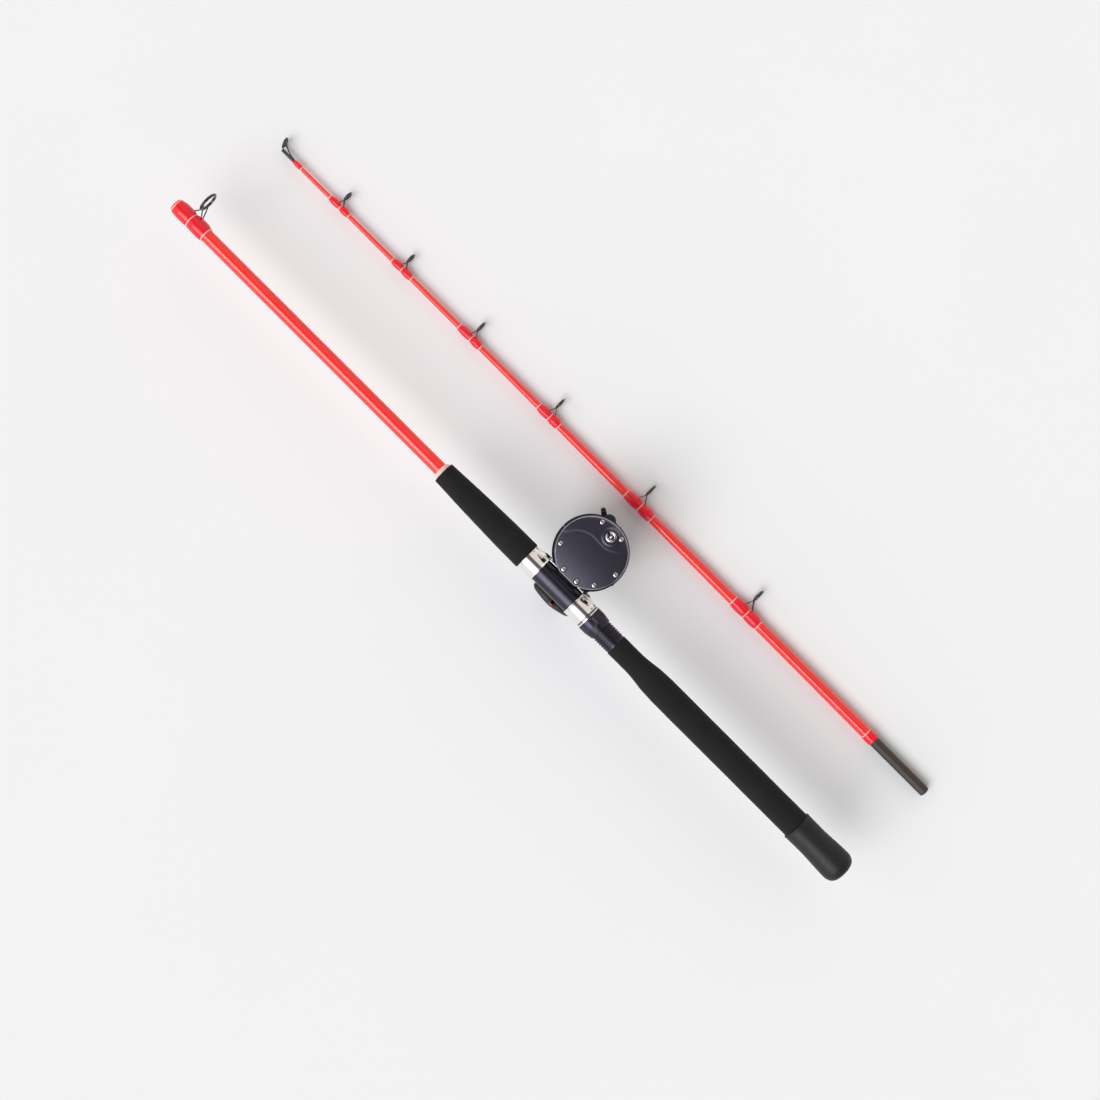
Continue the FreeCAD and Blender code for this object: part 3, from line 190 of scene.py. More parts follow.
class Shell:
    """Faces gathered from several shapes, which become one piece."""

    def __init__(self) -> None:
        """Start with no faces."""
        self.mesh = bmesh.new()

    def rings(self, rows: Sequence[Sequence[Vector]], loop: bool = False, material: int = 0) -> None:
        """Join rings of points into a surface.

        Args:
            rows: The rings, each with the same number of points.
            loop: True joins the last ring to the first, and False closes both ends with a face.
            material: The index of the piece's material.
        """
        made = [[self.mesh.verts.new(p) for p in row] for row in rows]
        pairs = list(zip(made, made[1:])) + ([(made[-1], made[0])] if loop else [])
        for a, b in pairs:
            for k in range(len(a)):
                n = (k + 1) % len(a)
                self.mesh.faces.new((a[k], a[n], b[n], b[k])).material_index = material
        if not loop:
            self.mesh.faces.new(list(reversed(made[0]))).material_index = material
            self.mesh.faces.new(made[-1]).material_index = material

    def turned(self, axis: Axis, profile: Profile, segments: int = 72, loop: bool = False,
               material: int = 0) -> None:
        """Turn a profile of (along, radius) in mm about an axis. A loop profile makes a ring."""
        self.skin(axis, [(y, steady(r)) for y, r in profile], segments, loop, material)

    def skin(self, axis: Axis, rows: Sequence[tuple[float, Callable[[float], float]]], segments: int = 72,
             loop: bool = False, material: int = 0) -> None:
        """Make a surface round an axis from rows of (along, radius at an angle), in mm."""
        turns = [2 * math.pi * k / segments for k in range(segments)]
        points = [[axis.at(y, max(0.001, r(turn)), turn) for turn in turns] for y, r in rows]
        self.rings(points, loop, material)

    def tube(self, path: Sequence[Vector], radius: float, flat: Sequence[float] = (1.0,), segments: int = 12,
             material: int = 0) -> None:
        """Sweep a round or flattened section along a path.

        Args:
            path: The points of the centre line, in metres.
            radius: The section's radius in mm.
            flat: The height of the section as a part of its width, spread evenly along the path.
            segments: The number of sides.
            material: The index of the piece's material.
        """
        rows = []
        across = None
        for k, point in enumerate(path):
            ahead = (path[min(k + 1, len(path) - 1)] - path[max(k - 1, 0)]).normalized()
            across = across or ahead.orthogonal().normalized()
            across = (across - ahead * across.dot(ahead)).normalized()
            up = ahead.cross(across)
            place = k / (len(path) - 1) * (len(flat) - 1)
            low = int(place)
            high = min(low + 1, len(flat) - 1)
            squeeze = flat[low] + (flat[high] - flat[low]) * (place - low)
            rows.append([point + (across * math.cos(a) * squeeze + up * math.sin(a)) * radius * MM
                         for a in (2 * math.pi * n / segments for n in range(segments))])
        self.rings(rows, material=material)

    def slab(self, outline: Sequence[Vector], lift: Vector, edge: float, material: int = 0) -> None:
        """Raise an outline into a plate with bevelled rims.

        Args:
            outline: The corners of the plate's foot, in order, in metres.
            lift: The way from the foot to the top, in metres.
            edge: The width of the bevel in mm.
            material: The index of the piece's material.
        """
        middle = sum(outline, Vector()) / len(outline)
        up = lift.normalized()
        bevel = [(edge * (1 - math.sin(a)), edge * (1 - math.cos(a))) for a in spread(0.0, math.pi / 2, 4)]
        full = [(i, r * MM) for i, r in bevel] + [(i, lift.length - r * MM) for i, r in reversed(bevel)]
        ways = [middle - p for p in outline]
        self.rings([[p + way.normalized() * min(inward * MM, way.length * 0.5) + up * rise
                     for p, way in zip(outline, ways)] for inward, rise in full], material=material)

    def piece(self, name: str, materials: Sequence[bpy.types.Material],
              crease: float = 38.0) -> bpy.types.Object:
        """Turn the faces into an object.

        Args:
            name: The piece's name.
            materials: Its materials, in the order of their indices.
            crease: Edges that turn more than this many degrees stay sharp.

        Returns:
            The new object.
        """
        bmesh.ops.recalc_face_normals(self.mesh, faces=self.mesh.faces)
        data = bpy.data.meshes.new(name)
        self.mesh.to_mesh(data)
        self.mesh.free()
        shade(data, crease)
        for material in materials:
            data.materials.append(material)
        return linked(name, data)


def carved(piece: bpy.types.Object, cutter: Shell, crease: float = 30.0) -> bpy.types.Object:
    """Cut one closed shell out of a piece.

    Args:
        piece: The object to cut.
        cutter: The shape to take away.
        crease: Edges that turn more than this many degrees stay sharp.

    Returns:
        The same object with its new mesh.
    """
    tool = cutter.piece(piece.name + "_cutter", [])
    cut = piece.modifiers.new("cut", "BOOLEAN")
    cut.operation, cut.solver, cut.object = "DIFFERENCE", "EXACT", tool
    shapes = bpy.context.evaluated_depsgraph_get()
    data = bpy.data.meshes.new_from_object(piece.evaluated_get(shapes))
    piece.modifiers.clear()
    old, piece.data = piece.data, data
    bpy.data.meshes.remove(old)
    bpy.data.objects.remove(tool)
    shade(data, crease)
    return piece


# ---------------------------------------------------------------- shared effects
class Effect:
    """A shader node group under construction, with named inputs and outputs."""

    def __init__(self, name: str, inputs: dict[str, object], outputs: Sequence[str]) -> None:
        """Make the group's sockets.

        Args:
            name: The group's name.
            inputs: Each input's default: None is a vector, and a number is a value.
            outputs: The names of the value outputs.
        """
        self.tree = bpy.data.node_groups.new(name, "ShaderNodeTree")
        for label, default in inputs.items():
            kind = "NodeSocketVector" if default is None else "NodeSocketFloat"
            socket = self.tree.interface.new_socket(label, in_out="INPUT", socket_type=kind)
            if default is not None:
                socket.default_value = default
        for label in outputs:
            self.tree.interface.new_socket(label, in_out="OUTPUT", socket_type="NodeSocketFloat")
        self.source = self.tree.nodes.new("NodeGroupInput")
        self.sink = self.tree.nodes.new("NodeGroupOutput")

    def input(self, name: str) -> bpy.types.NodeSocket:
        """The group's input as a socket inside it."""
        return self.source.outputs[name]

    def out(self, name: str, socket: bpy.types.NodeSocket) -> None:
        """Send a socket to one of the group's outputs."""
        self.tree.links.new(socket, self.sink.inputs[name])

    def node(self, kind: str, values: Optional[dict] = None, **settings: object) -> bpy.types.Node:
        """Add a node.

        Args:
            kind: The node's type.
            values: Inputs by name or number, each a constant or a socket to link.
            settings: The node's own properties.

        Returns:
            The node.
        """
        return add_node(self.tree, kind, values, **settings)

    def math(self, operation: str, *values: object) -> bpy.types.NodeSocket:
        """The result of a sum on sockets or numbers."""
        return self.node("ShaderNodeMath", dict(enumerate(values)), operation=operation).outputs[0]


def add_node(tree: bpy.types.NodeTree, kind: str, values: Optional[dict] = None,
             **settings: object) -> bpy.types.Node:
    """Add a node to a tree, set its properties and fill or link its inputs."""
    node = tree.nodes.new(kind)
    for name, value in settings.items():
        setattr(node, name, value)
    for name, value in (values or {}).items():
        fill(tree, node.inputs[name], value)
    return node


def fill(tree: bpy.types.NodeTree, socket: bpy.types.NodeSocket, value: object) -> None:
    """Link a socket, or set it to a constant. A colour gets its alpha."""
    if isinstance(value, bpy.types.NodeSocket):
        tree.links.new(value, socket)
    else:
        socket.default_value = (*value, 1.0) if isinstance(value, tuple) else value


class Effects:
    """The node groups that several finishes share."""

    def __init__(self) -> None:
        """Build every group once."""
        self.grain = self._grain()
        self.threads = self._threads()
        self.foam = self._foam()
        self.turning = self._turning()
        self.edge_wear = self._edge_wear()
        self.dust = self._dust()

    def _grain(self) -> bpy.types.NodeTree:
        """Fine and coarse noise. Size is in mm."""
        g = Effect("grain", {"Vector": None, "Size": 1.0, "Softness": 0.5}, ["Fine", "Coarse"])
        scale = g.math("DIVIDE", 1.0, g.math("MULTIPLY", g.input("Size"), MM))
        fine = g.node("ShaderNodeTexNoise", {"Vector": g.input("Vector"), "Scale": scale, "Detail": 3.0,
                                             "Roughness": g.input("Softness")})
        coarse = g.node("ShaderNodeTexNoise", {"Vector": g.input("Vector"), "Detail": 2.0,
                                               "Scale": g.math("MULTIPLY", scale, 0.07)})
        g.out("Fine", fine.outputs[0])
        g.out("Coarse", coarse.outputs[0])
        return g.tree

    def _threads(self) -> bpy.types.NodeTree:
        """Rounded threads laid side by side along Y. Shade is painted shade, dark in the grooves between the
        threads. Pitch is in mm.
        """
        g = Effect("wound_threads", {"Vector": None, "Pitch": 0.4}, ["Height", "Shade"])
        split = g.node("ShaderNodeSeparateXYZ", {"Vector": g.input("Vector")})
        wander = g.node("ShaderNodeTexNoise", {"Vector": g.input("Vector"), "Scale": 160.0, "Detail": 1.0})
        y = g.math("ADD", split.outputs["Y"], g.math("MULTIPLY", wander.outputs[0], 0.00025))
        phase = g.math("DIVIDE", y, g.math("MULTIPLY", g.input("Pitch"), MM / (2 * math.pi)))
        wave = g.math("ABSOLUTE", g.math("SINE", g.math("MULTIPLY", phase, 0.5)))
        g.out("Height", wave)
        # painted shade: the same wave as the height, dark in the grooves between threads
        g.out("Shade", g.math("POWER", wave, 0.6))
        return g.tree

    def _foam(self) -> bpy.types.NodeTree:
        """The closed cells of ground foam. Shade is painted shade in the cell pits, mixed with a random mottle.
        Cell is in mm.
        """
        g = Effect("foam_cells", {"Vector": None, "Cell": 0.7}, ["Height", "Shade"])
        scale = g.math("DIVIDE", 1.0, g.math("MULTIPLY", g.input("Cell"), MM))
        cells = g.node("ShaderNodeTexVoronoi", {"Vector": g.input("Vector"), "Scale": scale,
                                                "Randomness": 1.0})
        mottle = g.node("ShaderNodeTexNoise", {"Vector": g.input("Vector"), "Scale": 60.0, "Detail": 3.0})
        g.out("Height", g.math("ADD", cells.outputs["Distance"], g.math("MULTIPLY", mottle.outputs[0], 0.6)))
        # painted shade: low in the cell pits and high on their rims, times a random mottle
        g.out("Shade", g.math("MULTIPLY", cells.outputs["Distance"], mottle.outputs[0]))
        return g.tree

    def _turning(self) -> bpy.types.NodeTree:
        """The faint rings that a lathe leaves, by the distance along a given direction. Pitch is in mm."""
        g = Effect("turning_marks", {"Distance": 0.0, "Pitch": 0.25}, ["Height"])
        along = g.math("MULTIPLY", g.input("Distance"), 900.0)
        uneven = g.node("ShaderNodeTexNoise", {"W": along, "Detail": 3.0}, noise_dimensions="1D")
        cycle = g.math("MULTIPLY", g.input("Pitch"), MM / (2 * math.pi))
        phase = g.math("DIVIDE", g.input("Distance"), cycle)
        wave = g.math("MULTIPLY", g.math("SINE", phase), 0.5)
        g.out("Height", g.math("ADD", wave, uneven.outputs[0]))
        return g.tree

    def _edge_wear(self) -> bpy.types.NodeTree:
        """Where handling has rubbed the sharp edges bright."""
        g = Effect("edge_wear", {"Vector": None, "Amount": 0.5}, ["Mask"])
        bend = g.node("ShaderNodeNewGeometry").outputs["Pointiness"]
        chips = g.node("ShaderNodeTexNoise", {"Vector": g.input("Vector"), "Scale": 420.0, "Detail": 4.0})
        raised = g.math("SUBTRACT", g.math("ADD", bend, g.math("MULTIPLY", chips.outputs[0], 0.05)), 0.57)
        steep = g.math("MULTIPLY", raised, g.math("MULTIPLY", g.input("Amount"), 14.0))
        g.out("Mask", g.node("ShaderNodeClamp", {"Value": steep}).outputs[0])
        return g.tree

    def _dust(self) -> bpy.types.NodeTree:
        """A thin film of dust in blotches, heavier where the surface faces up."""
        g = Effect("dust", {"Vector": None, "Amount": 0.2}, ["Mask"])
        split = g.node("ShaderNodeSeparateXYZ", {"Vector": g.node("ShaderNodeNewGeometry").outputs["Normal"]})
        blotch = g.node("ShaderNodeTexNoise", {"Vector": g.input("Vector"), "Scale": 45.0, "Detail": 6.0})
        facing = g.math("ADD", g.math("MULTIPLY", split.outputs["Z"], 0.5), 0.5)
        spread = g.math("MULTIPLY", g.math("POWER", blotch.outputs[0], 2.0), facing)
        g.out("Mask", g.node("ShaderNodeClamp", {
            "Value": g.math("MULTIPLY", spread, g.input("Amount"))}).outputs[0])
        return g.tree


class Graph:
    """One material's node tree, with its Principled BSDF in place."""

    def __init__(self, name: str) -> None:
        """Start a material with an empty tree and a shader."""
        self.material = bpy.data.materials.new(name)
        self.material.use_nodes = True
        self.tree = self.material.node_tree
        self.tree.nodes.clear()
        self.shader = self.tree.nodes.new("ShaderNodeBsdfPrincipled")
        output = self.tree.nodes.new("ShaderNodeOutputMaterial")
        self.tree.links.new(self.shader.outputs[0], output.inputs[0])
        self.place = self.node("ShaderNodeTexCoord").outputs["Object"]

    def node(self, kind: str, values: Optional[dict] = None, **settings: object) -> bpy.types.Node:
        """Add a node, set its properties and fill or link its inputs."""
        return add_node(self.tree, kind, values, **settings)

    def effect(self, group: bpy.types.NodeTree, **values: object) -> bpy.types.Node:
        """Place a shared effect, with the object's own coordinates where it takes a vector."""
        node = self.node("ShaderNodeGroup", values, node_tree=group)
        if "Vector" in node.inputs and "Vector" not in values:
            self.tree.links.new(self.place, node.inputs["Vector"])
        return node

    def set(self, **values: object) -> None:
        """Set or link the shader's sockets. An underscore stands for a space in a socket's name."""
        for name, value in values.items():
            fill(self.tree, self.shader.inputs[name.replace("_", " ")], value)

    def blend(self, low: object, high: object, factor: object) -> bpy.types.NodeSocket:
        """A colour between two colours or sockets."""
        return self.node("ShaderNodeMix", {0: factor, 6: low, 7: high}, data_type="RGBA").outputs[2]

    def span(self, value: bpy.types.NodeSocket, low: float, high: float, source_low: float = 0.0,
             source_high: float = 1.0) -> bpy.types.NodeSocket:
        """A value moved from one range to another and kept inside it."""
        return self.node("ShaderNodeMapRange", {
            0: value, 1: source_low, 2: source_high, 3: low, 4: high}).outputs[0]

    def bump(self, height: bpy.types.NodeSocket, depth: float, strength: float = 1.0) -> bpy.types.NodeSocket:
        """A normal from a height, with a depth in mm."""
        values = {"Height": height, "Distance": depth * MM, "Strength": strength}
        return self.node("ShaderNodeBump", values).outputs[0]

    def mottled(self, colour: Colour, share: float, grain: bpy.types.NodeSocket) -> bpy.types.NodeSocket:
        """A colour that drifts with the grain to a darker share of itself."""
        return self.blend(colour, tuple(c * share for c in colour), self.span(grain, 0.0, 1.0, 0.35, 0.65))

    def axis_part(self, letter: str) -> bpy.types.NodeSocket:
        """One coordinate of the surface, in metres."""
        return self.node("ShaderNodeSeparateXYZ", {"Vector": self.place}).outputs[letter]


# ---------------------------------------------------------------- finishes
DUST: Colour = (0.3, 0.29, 0.28)


@dataclass(frozen=True)
class Finish:
    """A finish, by its name and its main colour."""

    name: str
    colour: Colour

    def build(self, effects: Effects) -> bpy.types.Material:
        """Make the finish's material."""
        raise NotImplementedError


@dataclass(frozen=True)
class Lacquer(Finish):
    """Tinted lacquer over a blank, with a clear coat that is not quite flat."""

    deep: Colour = (0.4, 0.0, 0.0)

    def build(self, effects: Effects) -> bpy.types.Material:
        """Make the finish's material."""
        g = Graph(self.name)
        grain = g.effect(effects.grain, Size=0.5)
        dust = g.effect(effects.dust, Amount=0.05)
        flow = g.blend(self.deep, self.colour, g.span(grain.outputs["Coarse"], 0.55, 1.0, 0.3, 0.62))
        g.set(Base_Color=g.blend(flow, (0.85, 0.62, 0.58), dust.outputs[0]),
              Roughness=g.span(grain.outputs["Coarse"], 0.2, 0.32), IOR=1.5, Specular_IOR_Level=0.25,
              Coat_Weight=0.9, Coat_Roughness=0.04, Normal=g.bump(grain.outputs["Coarse"], 0.05))
        return g.material


@dataclass(frozen=True)
class ThreadWrap(Finish):
    """Wound thread under epoxy, with painted shade in the grooves between the threads and random darker flecks.
    """

    pitch: float = 0.4
    dark: Colour = (0.3, 0.0, 0.01)

    def build(self, effects: Effects) -> bpy.types.Material:
        """Make the finish's material."""
        g = Graph(self.name)
        threads = g.effect(effects.threads, Pitch=self.pitch)
        grain = g.effect(effects.grain, Size=1.6)
        # painted shade: the grooves between threads go towards the dark colour; the grain blend below adds
        # random darker flecks
        wound = g.blend(self.dark, self.colour, g.span(threads.outputs["Shade"], 0.25, 1.0))
        g.set(Base_Color=g.blend(wound, self.dark, g.span(grain.outputs["Fine"], 0.0, 0.35, 0.45, 0.75)),
              Roughness=g.span(grain.outputs["Coarse"], 0.28, 0.4), Specular_IOR_Level=0.2, Coat_Weight=0.7,
              Coat_Roughness=0.05, Normal=g.bump(threads.outputs["Height"], 0.06, 0.7))
        return g.material


@dataclass(frozen=True)
class Foam(Finish):
    """Ground closed-cell foam with a faint sheen all over."""

    # the colour of the cell rims, lighter than the painted shade in the pits
    light: Colour = (0.06, 0.06, 0.062)

    def build(self, effects: Effects) -> bpy.types.Material:
        """Make the finish's material."""
        g = Graph(self.name)
        cells = g.effect(effects.foam, Cell=0.8)
        dust = g.effect(effects.dust, Amount=0.03)
        # painted shade in the cell pits with lighter rims, partly random mottled tone
        ground = g.blend(self.colour, self.light, g.span(cells.outputs["Shade"], 0.0, 1.0, 0.1, 0.5))
        g.set(Base_Color=g.blend(ground, (0.2, 0.19, 0.18), dust.outputs[0]),
              Roughness=g.span(cells.outputs["Height"], 0.62, 0.9), Specular_IOR_Level=0.3, Sheen_Weight=0.04,
              Sheen_Roughness=0.5, Normal=g.bump(cells.outputs["Height"], 0.16, 0.8))
        return g.material


@dataclass(frozen=True)
class Rubber(Finish):
    """Moulded rubber with a fine matt skin."""

    worn: Colour = (0.1, 0.1, 0.1)

    def build(self, effects: Effects) -> bpy.types.Material:
        """Make the finish's material."""
        g = Graph(self.name)
        grain = g.effect(effects.grain, Size=0.35)
        wear = g.effect(effects.edge_wear, Amount=0.6)
        scuffs = g.effect(effects.dust, Amount=0.06)
        rubbed = g.blend(self.colour, self.worn, wear.outputs[0])
        g.set(Base_Color=g.blend(rubbed, (0.16, 0.155, 0.15), scuffs.outputs[0]),
              Roughness=g.span(grain.outputs["Coarse"], 0.42, 0.6), Specular_IOR_Level=0.38,
              Normal=g.bump(grain.outputs["Fine"], 0.05, 0.5))
        return g.material


@dataclass(frozen=True)
class Chrome(Finish):
    """Bright plating, its roughness and surface varied by a soft noise."""

    smear: float = 0.09

    def build(self, effects: Effects) -> bpy.types.Material:
        """Make the finish's material."""
        g = Graph(self.name)
        grain = g.effect(effects.grain, Size=0.9)
        dust = g.effect(effects.dust, Amount=0.08)
        g.set(Base_Color=g.blend(self.colour, (0.55, 0.53, 0.5), dust.outputs[0]), Metallic=1.0,
              Roughness=g.span(grain.outputs["Coarse"], 0.03, self.smear, 0.35, 0.65),
              Normal=g.bump(grain.outputs["Coarse"], 0.02, 0.4))
        return g.material


class Lay(Enum):
    """The way that a metal surface's fine marks run."""

    ALONG_ROD = "Y"
    ROUND_REEL = "Z"
    BLASTED = ""


@dataclass(frozen=True)
class Metal(Finish):
    """Machined metal, bare or anodised, with worn edges."""

    lay: Lay = Lay.BLASTED
    rough: tuple[float, float] = (0.3, 0.42)
    worn: Colour = (0.6, 0.6, 0.62)
    wear: float = 0.5

    def build(self, effects: Effects) -> bpy.types.Material:
        """Make the finish's material."""
        g = Graph(self.name)
        grain = g.effect(effects.grain, Size=0.3)
        wear = g.effect(effects.edge_wear, Amount=self.wear)
        dust = g.effect(effects.dust, Amount=0.1)
        if self.lay is Lay.BLASTED:
            height = grain.outputs["Fine"]
        else:
            marks = g.effect(effects.turning, Distance=g.axis_part(self.lay.value), Pitch=0.3)
            height = marks.outputs["Height"]
        base = g.mottled(self.colour, 0.9, grain.outputs["Coarse"])
        g.set(Base_Color=g.blend(g.blend(base, self.worn, wear.outputs[0]), DUST, dust.outputs[0]),
              Metallic=1.0, Roughness=g.span(height, *self.rough, 0.2, 0.8),
              Normal=g.bump(height, 0.012, 0.6))
        return g.material


@dataclass(frozen=True)
class Moulded(Finish):
    """A hard moulded or fired surface, such as plastic or ceramic."""

    rough: tuple[float, float] = (0.35, 0.5)
    coat: float = 0.0
    grain_size: float = 0.4
    depth: float = 0.03
    worn: Colour = (0.12, 0.12, 0.12)

    def build(self, effects: Effects) -> bpy.types.Material:
        """Make the finish's material."""
        g = Graph(self.name)
        grain = g.effect(effects.grain, Size=self.grain_size)
        wear = g.effect(effects.edge_wear, Amount=0.4)
        dust = g.effect(effects.dust, Amount=0.12)
        base = g.mottled(self.colour, 0.7, grain.outputs["Coarse"])
        g.set(Base_Color=g.blend(g.blend(base, self.worn, wear.outputs[0]), DUST, dust.outputs[0]),
              Roughness=g.span(grain.outputs["Fine"], *self.rough), Coat_Weight=self.coat,
              Coat_Roughness=0.08, Normal=g.bump(grain.outputs["Fine"], self.depth, 0.5))
        return g.material


@dataclass(frozen=True)
class Ground(Finish):
    """A ground graphite or fibre surface, with rings from sanding and streaks along it."""

    streak: Colour = (0.2, 0.17, 0.15)

    def build(self, effects: Effects) -> bpy.types.Material:
        """Make the finish's material."""
        g = Graph(self.name)
        marks = g.effect(effects.turning, Distance=g.axis_part("Y"), Pitch=0.5)
        grain = g.effect(effects.grain, Size=0.8)
        sanded = g.span(marks.outputs["Height"], 0.0, 0.8, 0.1, 1.1)
        g.set(Base_Color=g.blend(self.colour, self.streak, sanded),
              Roughness=g.span(grain.outputs["Fine"], 0.4, 0.6),
              Normal=g.bump(marks.outputs["Height"], 0.03, 0.6))
        return g.material


FINISHES: dict[str, Finish] = {finish.name: finish for finish in (
    Lacquer("blank_red", (1.0, 0.016, 0.012), deep=(0.96, 0.01, 0.009)),
    ThreadWrap("wrap_crimson", (0.98, 0.0015, 0.02), dark=(0.6, 0.0, 0.01)),
    ThreadWrap("trim_white", (0.9, 0.6, 0.52), dark=(0.8, 0.42, 0.36)),
    Foam("foam_grip", (0.0025, 0.0025, 0.003), light=(0.009, 0.009, 0.0095)),
    Rubber("butt_rubber", (0.007, 0.007, 0.0085), worn=(0.02, 0.02, 0.022)),
    Metal("seat_satin", (0.045, 0.042, 0.06), Lay.ALONG_ROD, (0.3, 0.4), (0.14, 0.14, 0.17), 0.3),
    Chrome("hood_chrome", (0.9, 0.885, 0.86)),
    Ground("graphite", (0.026, 0.018, 0.016), streak=(0.075, 0.056, 0.05)),
    Moulded("guide_black", (0.008, 0.008, 0.01), (0.25, 0.38), 0.25, 0.6, 0.01, (0.12, 0.12, 0.12)),
    Moulded("ring_ceramic", (0.03, 0.028, 0.03), (0.08, 0.16), 0.6, 0.5, 0.004, (0.1, 0.1, 0.1)),
    Metal("plate_anodised", (0.18, 0.168, 0.23), Lay.BLASTED, (0.2, 0.27), (0.4, 0.4, 0.45), 0.3),
    Metal("frame_black", (0.03, 0.03, 0.034), Lay.ROUND_REEL, (0.25, 0.4), (0.35, 0.35, 0.36), 0.5),
    Metal("screw_steel", (0.82, 0.81, 0.8), Lay.BLASTED, (0.16, 0.3), (0.95, 0.95, 0.95), 0.4),
    Metal("spool_metal", (0.6, 0.6, 0.62), Lay.ROUND_REEL, (0.2, 0.34), (0.85, 0.85, 0.86), 0.6),
    Metal("shaft_steel", (0.6, 0.6, 0.6), Lay.ROUND_REEL, (0.14, 0.26), (0.8, 0.8, 0.8), 0.3),
    Metal("gear_brass", (0.78, 0.5, 0.18), Lay.ROUND_REEL, (0.2, 0.36), (0.95, 0.75, 0.4), 0.5),
    Ground("drag_fibre", (0.12, 0.07, 0.035), streak=(0.22, 0.15, 0.09)),
    Chrome("button_chrome", (0.93, 0.93, 0.94)),
    Metal("crank_black", (0.035, 0.035, 0.04), Lay.BLASTED, (0.28, 0.42), (0.4, 0.4, 0.42), 0.6),
    Moulded("knob_black", (0.002, 0.002, 0.0025), (0.4, 0.52), 0.0, 0.5, 0.03, (0.015, 0.015, 0.015)),
    Moulded("bush_plastic", (0.62, 0.58, 0.5), (0.45, 0.6), 0.0, 0.6, 0.03, (0.75, 0.72, 0.66)),
    Metal("rivet_copper", (0.12, 0.055, 0.03), Lay.BLASTED, (0.22, 0.34), (0.3, 0.18, 0.12), 0.5),
)}


class Bench:
    """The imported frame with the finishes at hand, which puts each piece in its place."""

    def __init__(self) -> None:
        """Load the frame and make every finish."""
        self.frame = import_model()
        effects = Effects()
        self.materials = {name: finish.build(effects) for name, finish in FINISHES.items()}
        self.joints = {j["name"]: j for j in self.frame["joints"]}
        self.dress_nodes()

    def dress_nodes(self) -> None:
        """Give every node of the frame its slot's finish."""
        slots = {part["node"]: part["material_slot"] for part in self.frame["record"]["subparts"]}
        for name, node in self.frame["nodes"].items():
            node.data.materials.clear()
            node.data.materials.append(self.materials[slots[name]])
            LOG.info("node %s wears %s", name, slots[name])

    def centre(self, node: str) -> Vector:
        """The middle of a node's box, in metres."""
        low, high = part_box(node)
        return (low + high) / 2

    def joint_place(self, joint: str) -> Vector:
        """A joint's position, in metres."""
        return Vector(self.joints[joint]["pos_m"])

    def add(self, shell: Shell, name: str, finish: str, body: str, replaces: Sequence[str] = (),
            extra: Sequence[str] = (), crease: float = 38.0) -> bpy.types.Object:
        """Make a piece, dress it and put it on its body.

        Args:
            shell: The piece's faces.
            name: The piece's name.
            finish: Its main finish, which is also its material slot.
            body: The body that it rides on.
            replaces: The nodes that it stands for.
            extra: More finishes, for the faces with a higher material index.
            crease: Edges that turn more than this many degrees stay sharp.

        Returns:
            The new object.
        """
        made = shell.piece(name, [self.materials[f] for f in (finish, *extra)], crease)
        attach(made, body)
        if replaces:
            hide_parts(*replaces)
        LOG.info("piece %s on %s", name, body)
        return made


# ---------------------------------------------------------------- the rod

UNDER = 0.25  # how far the wraps reach into the blank, in mm
TRIM_HALF = 0.6  # half a trim band's width, in mm
CORE_INSET = 0.3  # how far a grip's bore lies inside the blank, in mm
HOOP_INSET = 0.5  # from a guide's outer radius to the middle of its hoop, in mm
RING_INSET = 1.65  # from a guide's outer radius to the middle of its ceramic ring, in mm
RING_HALF = 0.78  # half the ceramic ring's thickness, in mm


def trim_band(y: float, low: float, high: float) -> list[tuple[float, float]]:
    """The section of a trim band between two radii, with its rims rounded."""
    front, rear = y + TRIM_HALF, y - TRIM_HALF
    return softened([(rear, low), (rear, high), (front, high), (front, low)], 0.25, 3)


def radius_at(taper: Profile, y: float) -> float:
    """A blank's radius, which is that of its nearer end beyond its ends.

    Args:
        taper: The blank's (along, radius) points, front end first, in mm.
        y: The place along the rod, in mm.

    Returns:
        The radius in mm.
    """
    for (y0, r0), (y1, r1) in zip(taper, taper[1:]):
        if y1 <= y <= y0:
            return r0 + (r1 - r0) * (y - y0) / (y1 - y0)
    return taper[-1][1] if y < taper[-1][0] else taper[0][1]


def flowing(profile: Profile, steps: int = 8) -> list[tuple[float, float]]:
    """A profile with its points joined by one smooth curve."""
    return [tuple(p) for p in eased([Vector(p) for p in profile], steps)]


def rounded_section(along: float, radius: float, half_width: float, half_height: float, sides: int = 16,
                    power: float = 2.6) -> list[tuple[float, float]]:
    """The section of a ring with well-rounded corners, as a loop of (along, radius)."""
    loop = squared(sides, 2 / power, 2 / power)
    return [(along + u * half_width, radius + v * half_height) for u, v in loop]


def link_outline(axis: Axis, reach: tuple[float, float], radii: tuple[float, float], low: float,
                 steps: int) -> list[Vector]:
    """The outline of a flat link, round at both ends.

    Args:
        axis: The axis at the link's root.
        reach: The way from the axis to the middle of its far end, in mm.
        radii: The radius of each end, in mm.
        low: The height of the outline along the axis, in mm.
        steps: The number of points round each end.

    Returns:
        The points of the outline, in metres.
    """
    way = math.atan2(reach[1], reach[0])
    x, y = math.hypot(*reach) * math.cos(way), math.hypot(*reach) * math.sin(way)
    return [axis.moved(share * x + r * math.cos(turn), share * y + r * math.sin(turn)).at(low, 0.0)
            for share, r, start in ((0.0, radii[0], way + math.pi / 2), (1.0, radii[1], way - math.pi / 2))
            for turn in spread(start, start + math.pi, steps)]


@dataclass
class Section:
    """One section of the rod: its axis, its body and the taper of its blank."""

    axis: Axis
    body: str
    taper: Profile


